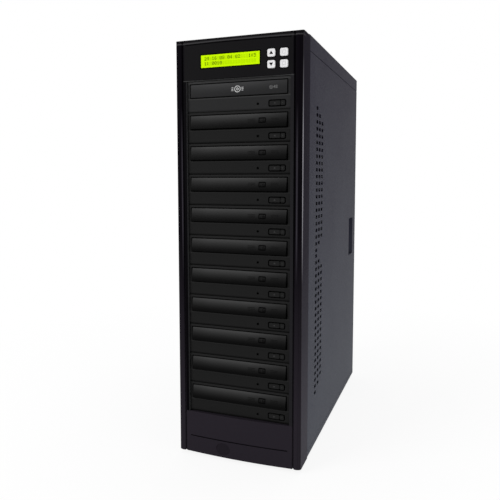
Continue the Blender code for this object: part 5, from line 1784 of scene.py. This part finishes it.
def fan_corners():
    span = FAN_SCREW_SPAN / 2
    return [(x, FAN_Z + z) for x in (-span, span) for z in (-span, span)]


def pan_head(place, y, form):
    """A low screw head on a wall at y, from its (radius, edge, rise)."""
    radius, edge, rise = form
    profile = [(radius, y - GAP), (radius, y + edge), (radius - HEAD_SLOPE, y + rise)]
    return lathe("Y", place, profile, HEAD_SIDES)


def rear_parts(look):
    """The rear panel with its openings, and the heads of the screws that hold the fan."""
    front = CASE_DEPTH - REAR_SIDE_FLANGE
    path = [(REAR_HALF, front), (REAR_HALF, CASE_DEPTH), (-REAR_HALF, CASE_DEPTH), (-REAR_HALF, front)]
    body = prism(folded(path), "Z", BASE_Z + SHEET + GAP, TOP_Z - SHEET - GAP)
    through = (REAR_INNER - OVERRUN, CASE_DEPTH + OVERRUN)
    margin = 2 * PSU_OPENING_MARGIN
    opening = rounded((0, PSU_Z), PSU_WIDTH - margin, PSU_HEIGHT - margin, PSU_OPENING_CORNER)
    holes = grille_slots()
    for x in (-CASE_HALF + SCREW_INSET_X, CASE_HALF - SCREW_INSET_X):
        holes += [circle((x, z), HOLE_RADIUS, PIN_SIDES) for z in SCREW_LEVELS]
    tools = gathered([prism(hole, "Y", *through) for hole in holes])
    body = carved(body, prism(opening, "Y", *through), tools)
    heads = gathered([pan_head(place, CASE_DEPTH, FAN_HEAD) for place in fan_corners()])
    return [(body, look["steel"], FINE_EDGE), (heads, look["screw"], FINE_EDGE)]


def rail_parts(look):
    """The right bay rail: a channel with a screw slot for each drive."""
    inner = DRIVE_CASE_WIDTH / 2 + GAP
    outer = CASE_INNER_HALF - GAP - SHEET - RUN_GAP
    rear = RAIL_FRONT + RAIL_DEPTH
    path = [(outer, rear), (inner, rear), (inner, RAIL_FRONT), (outer, RAIL_FRONT)]
    body = prism(folded(path), "Z", BASE_Z + SHEET + GAP, RAIL_TOP)
    slots = []
    for index in range(len(DRIVES)):
        z = STACK_TOP - (index + 1 / 2) * DRIVE_PITCH
        outline = rounded((RAIL_FRONT + RAIL_DEPTH / 2, z), *RAIL_SLOT)
        slots.append(prism(outline, "X", inner - OVERRUN, inner + SHEET + OVERRUN))
    return [(carved(body, gathered(slots)), look["steel"], FINE_EDGE)]


def board_sockets(back, top):
    """A socket on the board for each drive, and the tongues in them."""
    width, length, height = SOCKET_SIZE
    shells = []
    tongues = []
    for index in range(len(DRIVES)):
        x = (index - len(DRIVES) // 2) * SOCKET_PITCH
        shell = box(centred(x, width), (back - length, back), (top - GAP, top + height))
        hole_y = (back - length + SOCKET_HOLE_INSET, back - SOCKET_HOLE_INSET)
        hole = box(centred(x, SOCKET_HOLE_WIDTH), hole_y, [top + z for z in SOCKET_HOLE_Z])
        shells.append(carved(shell, hole))
        tongue_y = (back - length + TONGUE_INSET, back - TONGUE_INSET)
        tongues.append(box(centred(x, TONGUE_WIDTH), tongue_y, [top + z for z in TONGUE_Z]))
    return gathered(shells), gathered(tongues)


def heat_sink(x, y, top):
    fins = [box(centred(x, SINK_SIZE), centred(y, SINK_SIZE), (top - GAP, top + SINK_PLATE))]
    for index in range(FIN_COUNT):
        fin_x = x + (index - FIN_COUNT // 2) * FIN_PITCH
        fins.append(box(centred(fin_x, FIN_WIDTH), centred(y, SINK_SIZE), [top + z for z in FIN_Z]))
    return gathered(fins)


def controller_parts(look):
    """The controller board with its sockets, finned heat sink and memory chips."""
    low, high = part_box("controller_board")
    bottom = low.z
    top = bottom + BOARD_THICKNESS
    y = centred(RAIL_FRONT + RAIL_DEPTH / 2, CONTROLLER_DEPTH)
    sockets, tongues = board_sockets(y[1] - SOCKET_INSET, top)
    sink_x = SINK_X_SHARE * high.x
    sink_y = y[0] + SINK_Y_SHARE * CONTROLLER_DEPTH
    width, length, height = CHIP_SIZE
    chips = []
    for index in range(CHIP_COUNT):
        x = sink_x + SINK_SIZE / 2 + CHIP_GAP + (index + 1 / 2) * CHIP_PITCH
        chips.append(box(centred(x, width), centred(sink_y, length), (top - GAP, top + height)))
    return [
        (box((low.x, high.x), y, (bottom, top)), look["board"], FINE_EDGE),
        (sockets, look["switch"], FINE_EDGE),
        (tongues, look["brass"], 0),
        (heat_sink(sink_x, sink_y, top), look["screw"], FINE_EDGE),
        (gathered(chips), look["ink"], FINE_EDGE),
    ]


# Power supply and fans


def ring_slots(centre, inner, outer):
    """The openings of a stamped fan grille: rings cut into quarters by its spokes."""
    slots = []
    pitch = (outer - inner + PSU_RING_WIRE) / PSU_RINGS
    for ring in range(PSU_RINGS):
        near = inner + ring * pitch
        far = near + pitch - PSU_RING_WIRE
        for quarter in range(4):
            start = math.pi / 2 * quarter
            trim = PSU_SPOKE_WIDTH / 2 / near
            far_trim = PSU_SPOKE_WIDTH / 2 / far
            points = arc(centre, far, start + far_trim, start + math.pi / 2 - far_trim, GRILLE_STEPS)
            points += arc(centre, near, start + math.pi / 2 - trim, start + trim, GRILLE_STEPS)
            slots.append(points)
    return slots


def inlet_outline(width, height, clip):
    """A mains inlet's outline: a rectangle with its two upper corners cut off."""
    x, z = width / 2, height / 2
    return [(-x, -z), (x, -z), (x, z - clip), (x - clip, z), (clip - x, z), (-x, z - clip)]


def psu_shell():
    """The supply's case, open at the back, with intake slots in its front."""
    front = PSU_REAR - PSU_DEPTH
    outline = rounded((0, PSU_Z), PSU_WIDTH, PSU_HEIGHT, PSU_CORNER, 3)
    shell = prism(outline, "Y", front, PSU_REAR - SHEET)
    inner = (centred(0, PSU_WIDTH - 2 * SHEET), centred(PSU_Z, PSU_HEIGHT - 2 * SHEET))
    hollow = box(inner[0], (front + SHEET, PSU_REAR + OVERRUN), inner[1])
    intakes = []
    for index in range(INTAKE_COUNT):
        place = ((index - INTAKE_COUNT // 2) * INTAKE_PITCH, PSU_Z)
        outline = rounded(place, INTAKE_WIDTH, INTAKE_HEIGHT, INTAKE_CORNER)
        intakes.append(prism(outline, "Y", front - OVERRUN, front + SHEET + OVERRUN))
    return carved(shell, hollow, gathered(intakes))


def inlet_shapes(place):
    """The mains inlet's moulding, and its three pins."""
    frame_width = INLET_WIDTH + 2 * INLET_FRAME
    frame_height = INLET_HEIGHT + 2 * INLET_FRAME
    socket = inlet_outline(INLET_WIDTH - 2 * GAP, INLET_HEIGHT - 2 * GAP, INLET_CLIP)
    socket = [(place[0] + x, place[1] + z) for x, z in socket]
    rim = rounded(place, frame_width + INLET_RIM[0], frame_height + INLET_RIM[1], INLET_RIM_CORNER)
    wall = rounded(place, INLET_WIDTH - MERGE, INLET_HEIGHT - MERGE, RUN_GAP)
    floor = PSU_REAR - INLET_DEPTH
    back_y = (floor - INLET_FRAME, floor)
    back = box(centred(place[0], frame_width), back_y, centred(place[1], frame_height))
    pins = []
    for x, z in INLET_PINS:
        pin_y = (floor - GAP, PSU_REAR - PIN_SET)
        pins.append(box(centred(place[0] + x, PIN_WIDTH), pin_y, centred(place[1] + z, PIN_HEIGHT)))
    flange = plate(rim, [socket], "Y", PSU_REAR, PSU_REAR + INLET_RIM_PROUD)
    tunnel = plate(wall, [socket], "Y", floor, PSU_REAR + GAP)
    return gathered([flange, tunnel, back]), gathered(pins)


def psu_parts(look):
    """The supply's case with its grille, mains inlet and the switch's housing."""
    inlet_place = (INLET_X, PSU_Z + INLET_RISE)
    rocker_place = (INLET_X, PSU_Z - ROCKER_DROP)
    width, height = ROCKER_WIDTH + 2 * RUN_GAP, ROCKER_HEIGHT + 2 * RUN_GAP
    well_hole = rounded(rocker_place, width, height, RUN_GAP)
    holes = ring_slots((PSU_FAN_X, PSU_Z), PSU_HUB_RADIUS, PSU_FAN_RADIUS)
    holes += [rounded(inlet_place, INLET_WIDTH, INLET_HEIGHT, RUN_GAP), well_hole]
    outline = rounded((0, PSU_Z), PSU_WIDTH, PSU_HEIGHT, PSU_CORNER, 3)
    rear = plate(outline, holes, "Y", PSU_REAR - SHEET, PSU_REAR)
    rim = rounded(rocker_place, width + ROCKER_RIM, height + ROCKER_RIM, ROCKER_RIM_CORNER)
    well = plate(rim, [well_hole], "Y", PSU_REAR - ROCKER_HOUSING_DEPTH, PSU_REAR + ROCKER_RIM_PROUD)
    moulding, pins = inlet_shapes(inlet_place)
    screw = pan_head((PSU_SCREW[0], PSU_Z + PSU_SCREW[1]), PSU_REAR, SUPPLY_HEAD)
    return [
        (psu_shell(), look["steel"], FINE_EDGE),
        (rear, look["steel"], FINE_EDGE),
        (moulding, look["switch"], EDGE),
        (pins, look["brass"], EDGE),
        (well, look["switch"], EDGE),
        (screw, look["screw"], FINE_EDGE),
    ]


def rocker_parts(look):
    """The mains rocker about its pivot, with its two marks."""
    half = ROCKER_HEIGHT / 2
    rise = half * math.tan(ROCKER_TILT)
    face = ROCKER_PROUD + ROCKER_PIVOT_DEPTH
    back = face - ROCKER_BODY_DEPTH
    outline = [(back, -half + rise), (back, half - rise), (face - rise, half)]
    for step in range(1, ROCKER_STEPS):
        z = half - 2 * half * step / ROCKER_STEPS
        outline.append((face - 2 * rise + rise * abs(z / half) ** ROCKER_DIP, z))
    outline.append((face - rise, -half))
    body = prism(outline, "X", *centred(0, ROCKER_WIDTH))
    pin = [(ROCKER_PIN_RADIUS, -ROCKER_PIN_HALF), (ROCKER_PIN_RADIUS, ROCKER_PIN_HALF)]
    mark_y = centred(face - ROCKER_MARK_SINK * rise, 2 * ROCKER_MARK_DEPTH)
    mark_z = half * ROCKER_MARK_SHARE
    bar = box(centred(0, ROCKER_BAR[0]), mark_y, centred(mark_z, ROCKER_BAR[1]))
    outer, inner = (circle((0, -mark_z), radius, ROCKER_RING_SIDES) for radius in ROCKER_RING)
    marks = gathered([bar, plate(outer, [inner], "Y", *mark_y)])
    for shape in (body, marks):
        shape.transform(Matrix.Rotation(ROCKER_TILT, 4, "X"))
    return [
        (body, look["switch"], SOFT_EDGE),
        (lathe("X", (0, 0), pin, PIN_SIDES), look["switch"], HARD_EDGE),
        (marks, look["pale"], 0),
    ]


def vane(root, tip, depth):
    """One curved fan blade along +X, its pitch easing from root to tip."""
    rings = []
    for station in range(BLADE_STATIONS + 1):
        share = station / BLADE_STATIONS
        radius = root + (tip - root) * share
        pitch = BLADE_ROOT_PITCH + (BLADE_TIP_PITCH - BLADE_ROOT_PITCH) * share
        chord = Vector((depth / 2, depth / 2 / math.tan(pitch)))
        normal = Vector((math.cos(pitch), -math.sin(pitch)))
        ring = []
        for side in (1, -1):
            count = range(BLADE_POINTS + 1) if side == 1 else range(1, BLADE_POINTS)
            for index in count:
                along = side * (1 - 2 * index / BLADE_POINTS)
                hump = 1 - along**2
                lift = BLADE_CAMBER * chord.length * hump
                lift += side * BLADE_THICKNESS / 2 * math.sqrt(hump)
                y, z = chord * along * BLADE_SHARE + normal * lift
                ring.append((math.sqrt(radius**2 - z**2), y, z))
        rings.append(ring)
    return loft(rings)


def rotor_parts(look, hub_radius, tip_radius, depth):
    """A fan rotor: its hub from the front of the blades to their back, and the blades round it."""
    profile = [
        (hub_radius - HUB_EDGE, 0),
        (hub_radius, HUB_EDGE),
        (hub_radius, depth - HUB_EDGE),
        (hub_radius - HUB_EDGE * HUB_ROUND, depth - HUB_EDGE * HUB_ROUND),
        (hub_radius - HUB_EDGE, depth),
    ]
    shapes = [lathe("Y", (0, 0), profile, HUB_SIDES)]
    for index in range(BLADE_COUNT):
        shape = vane(hub_radius - BLADE_THICKNESS, tip_radius, depth - 2 * BLADE_THICKNESS)
        turn = Matrix.Rotation(-math.tau * index / BLADE_COUNT, 4, "Y")
        shape.transform(Matrix.Translation((0, depth / 2, 0)) @ turn)
        shapes.append(shape)
    return [(gathered(shapes), look["fan"], FINE_EDGE)]


def fan_frame_parts(look):
    """The exhaust fan's square frame, and the struts that carry its hub."""
    rear = REAR_INNER - GAP
    front = rear - FAN_DEPTH
    holes = [circle((0, FAN_Z), FAN_BORE_RADIUS, FAN_BORE_SIDES)]
    holes += [circle(corner, FAN_SCREW_RADIUS, PIN_SIDES) for corner in fan_corners()]
    body = plate(rounded((0, FAN_Z), FAN_SIZE, FAN_SIZE, FAN_CORNER), holes, "Y", front, rear)
    strut_y = (front, front + FAN_STRUT_THICKNESS)
    reach = FAN_BORE_RADIUS + FAN_STRUT_WIDTH / 2
    hub = lathe("Y", (0, FAN_Z), [(FAN_HUB_RADIUS, y) for y in strut_y], HUB_SIDES)
    across = box((-reach, reach), strut_y, centred(FAN_Z, FAN_STRUT_WIDTH))
    upright = box(centred(0, FAN_STRUT_WIDTH), strut_y, (FAN_Z - reach, FAN_Z + reach))
    return [(body, look["fan"], SOFT_EDGE), (joined(hub, across, upright), look["fan"], EDGE)]


# Feet and thumbscrews


def foot_parts(look):
    return [(lathe("Z", (0, 0), FOOT_PROFILE, HUB_SIDES), look["rubber"], 0)]


def thumbscrew_parts(look):
    """A thumbscrew about its head's front face: a knurled head with a driver slot, and its shank."""
    outline = []
    for index in range(KNURLS):
        for share, depth in KNURL_FORM:
            turn = math.tau * (index + share) / KNURLS
            radius = SCREW_HEAD_RADIUS - depth * KNURL_DEPTH
            outline.append((radius * math.cos(turn), radius * math.sin(turn)))
    head = loft([[turned("Y", y, (x * scale, z * scale)) for x, z in outline] for scale, y in HEAD_RINGS])
    slot = box(
        centred(0, SCREW_SLOT_WIDTH),
        (SCREW_HEAD_LENGTH - SCREW_SLOT_DEPTH, SCREW_HEAD_LENGTH + OVERRUN),
        centred(0, 2 * SCREW_HEAD_RADIUS + OVERRUN),
    )
    profile = [(SCREW_SHANK_RADIUS - SCREW_TIP, -SCREW_SHANK_LENGTH)]
    pitch = SCREW_SHANK_LENGTH / THREADS
    for index in range(THREADS):
        y = -SCREW_SHANK_LENGTH + (index + 0.5) * pitch
        profile.append((SCREW_SHANK_RADIUS, y))
        profile.append((SCREW_SHANK_RADIUS - THREAD_DEPTH, y + pitch / 2))
    shank = lathe("Y", (0, 0), profile, HEAD_SIDES)
    return [(carved(head, slot), look["screw"], 0), (shank, look["screw"], 0)]


# Assembly


def add_front(look):
    parts = [
        (bezel_shape(), look["bezel"], SOFT_EDGE),
        (drive_liner(), look["liner"], EDGE),
        (key_shade_rims(), look["black"], 0),
    ]
    mesh = assembled("front_bezel", parts)
    piece("bezel", mesh, "tower", "bezel_plastic", "front_bezel")
    mesh = assembled("display", display_parts(look))
    piece("display_module", mesh, "tower", "display_green", "display_board")
    for node, kind in KEYS.items():
        centre = middle_of(node)
        mesh = assembled(node, key_parts(look, node, kind))
        piece(node + "_cap", mesh, node, "key_white", node, at=(centre.x, 0, centre.z))


def add_drives(look):
    bodies = {kind: assembled(kind, drive_parts(look, kind)) for kind in TRAY_FORMS}
    trays = {kind: assembled(kind + "_tray", tray_parts(look, kind)) for kind in TRAY_FORMS}
    button = assembled("eject", eject_parts(look))
    for number in DRIVES:
        kind = "reader" if number == DRIVES[0] else "writer"
        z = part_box("drive_" + number)[0].z
        place = (0, FACE_SET_BACK, z)
        piece("drive_unit_" + number, bodies[kind], "tower", "drive_plastic", "drive_" + number, at=place)
        node = "tray_" + number
        piece("disc_tray_" + number, trays[kind], node, "tray_plastic", node, at=place)
        node = "eject_button_" + number
        place = (EJECT_X, FACE_SET_BACK, z + EJECT_RISE)
        piece("eject_cap_" + number, button, node, "eject_plastic", node, at=place)


def add_case(look):
    piece("floor_pan", assembled("base", base_parts(look)), "tower", "case_paint", "base_pan")
    piece("top_shell", assembled("top", top_parts(look)), "tower", "case_paint", "top_cover")
    piece("back_plate", assembled("rear", rear_parts(look)), "tower", "galvanised_steel", "rear_panel")
    right = side_shape()
    rail, rail_look, rail_edge = rail_parts(look)[0]
    foot = assembled("foot", foot_parts(look))
    screw = assembled("thumbscrew", thumbscrew_parts(look))
    for side, way in SIDES.items():
        mesh = assembled("side", [(sided(right, way), look["paint"], EDGE)])
        node = "side_panel_" + side
        piece("side_cover_" + side, mesh, node, "case_paint", node)
        mesh = assembled("rail", [(sided(rail, way), rail_look, rail_edge)])
        piece("rail_" + side, mesh, "tower", "galvanised_steel", "bay_rail_" + side)
        for end in ("front", "rear"):
            node = f"foot_{end}_{side}"
            centre = middle_of(node)
            piece("pad_" + end + "_" + side, foot, "tower", "foot_rubber", node, at=(centre.x, centre.y, 0))
        for level in ("upper", "lower"):
            node = f"thumbscrew_{level}_{side}"
            centre = middle_of(node)
            place = (centre.x, FLANGE_REAR + GAP, centre.z)
            piece(f"screw_{level}_{side}", screw, node, "screw_metal", node, at=place)


def add_insides(look):
    mesh = assembled("controller", controller_parts(look))
    piece("controller", mesh, "tower", "circuit_board", "controller_board")
    piece("supply", assembled("supply", psu_parts(look)), "tower", "galvanised_steel", "psu_case")
    depth = FAN_DEPTH - FAN_STRUT_THICKNESS - 2 * GAP
    small = rotor_parts(look, PSU_HUB_RADIUS, PSU_FAN_RADIUS - BLADE_TIP_GAP, depth)
    place = (PSU_FAN_X, PSU_REAR - SHEET - GAP - depth, PSU_Z)
    piece("supply_rotor", assembled("small_rotor", small), "psu_fan", "fan_plastic", "psu_fan", at=place)
    place = (INLET_X, PSU_REAR - ROCKER_PIVOT_DEPTH, PSU_Z - ROCKER_DROP)
    mesh = assembled("rocker", rocker_parts(look))
    piece("rocker", mesh, "psu_switch", "switch_plastic", "psu_switch", at=place)
    piece("fan_housing", assembled("housing", fan_frame_parts(look)), "tower", "fan_plastic", "fan_frame")
    large = rotor_parts(look, FAN_HUB_RADIUS, FAN_BORE_RADIUS - BLADE_TIP_GAP, depth)
    place = (0, REAR_INNER - FAN_DEPTH + FAN_STRUT_THICKNESS, FAN_Z)
    piece("case_rotor", assembled("large_rotor", large), "fan_rotor", "fan_plastic", "fan_rotor", at=place)


# Stage, light and camera


def add_lamps():
    """Soft rectangular lamps, each turned towards its target."""
    for name, (place, target, size, power) in LAMPS.items():
        light = bpy.data.lights.new(name, "AREA")
        light.shape = "RECTANGLE"
        light.size, light.size_y = size
        light.energy = power
        item = linked(name, light)
        item.location = place
        item.rotation_euler = (Vector(target) - Vector(place)).to_track_quat("-Z", "Y").to_euler()


def add_world():
    """White where the camera and reflections see it, and plain soft light everywhere else."""
    world = bpy.data.worlds.new("studio")
    world.use_nodes = True
    bpy.context.scene.world = world
    nodes, links = world.node_tree.nodes, world.node_tree.links
    back = nodes["Background"]
    back.inputs["Color"].default_value = (1, 1, 1, 1)
    path = nodes.new("ShaderNodeLightPath")
    seen = path.outputs["Is Camera Ray"]
    for name in ("Is Glossy Ray", "Is Transmission Ray"):
        either = nodes.new("ShaderNodeMath")
        either.operation = "MAXIMUM"
        links.new(seen, either.inputs[0])
        links.new(path.outputs[name], either.inputs[1])
        seen = either.outputs["Value"]
    level = nodes.new("ShaderNodeMapRange")
    level.inputs["To Min"].default_value = WORLD_LIGHT
    level.inputs["To Max"].default_value = 1.0
    links.new(seen, level.inputs["Value"])
    links.new(level.outputs["Result"], back.inputs["Strength"])


def add_floor():
    """A pale floor that keeps the object's shadow and fades into the white background."""
    shape = bmesh.new()
    bmesh.ops.create_circle(shape, cap_ends=True, radius=FLOOR_RADIUS, segments=FLOOR_SIDES)
    mesh = meshed("floor", shape)
    floor = linked("floor", mesh)
    surface = Surface("floor", 0.9, specular=0.0)
    surface.shader.inputs["Base Color"].default_value = (*FLOOR_COLOUR, 1)
    distance = surface.node("VectorMath")
    distance.operation = "LENGTH"
    surface.feed(distance.inputs[0], surface.place)
    white = surface.ranged(distance.outputs["Value"], FLOOR_NEAR_WHITE, 1, *FLOOR_FADE)
    rays = surface.node("LightPath").outputs
    seen = surface.maths("MAXIMUM", rays["Is Camera Ray"], rays["Is Glossy Ray"])
    mix = surface.nodes.new("ShaderNodeMixShader")
    surface.feed(mix.inputs["Fac"], surface.times(seen, white))
    surface.feed(mix.inputs[1], surface.shader.outputs["BSDF"])
    surface.feed(mix.inputs[2], surface.node("Emission").outputs["Emission"])
    surface.feed(surface.nodes["Material Output"].inputs["Surface"], mix.outputs["Shader"])
    mesh.materials.append(surface.made)


def add_camera():
    camera = bpy.data.cameras.new("camera")
    camera.lens = CAMERA_LENS
    camera.sensor_width = CAMERA_SENSOR
    camera.shift_x, camera.shift_y = CAMERA_SHIFT
    item = linked("camera", camera)
    item.location = CAMERA_PLACE
    item.location.y += FRONT
    item.rotation_euler = (math.pi / 2 - CAMERA_ELEVATION, 0, CAMERA_AZIMUTH)
    bpy.context.scene.camera = item


def main():
    look = make_looks()
    add_front(look)
    add_drives(look)
    add_case(look)
    add_insides(look)
    add_world()
    add_floor()
    add_lamps()
    add_camera()
    bpy.context.scene.view_settings.view_transform = "Standard"


main()
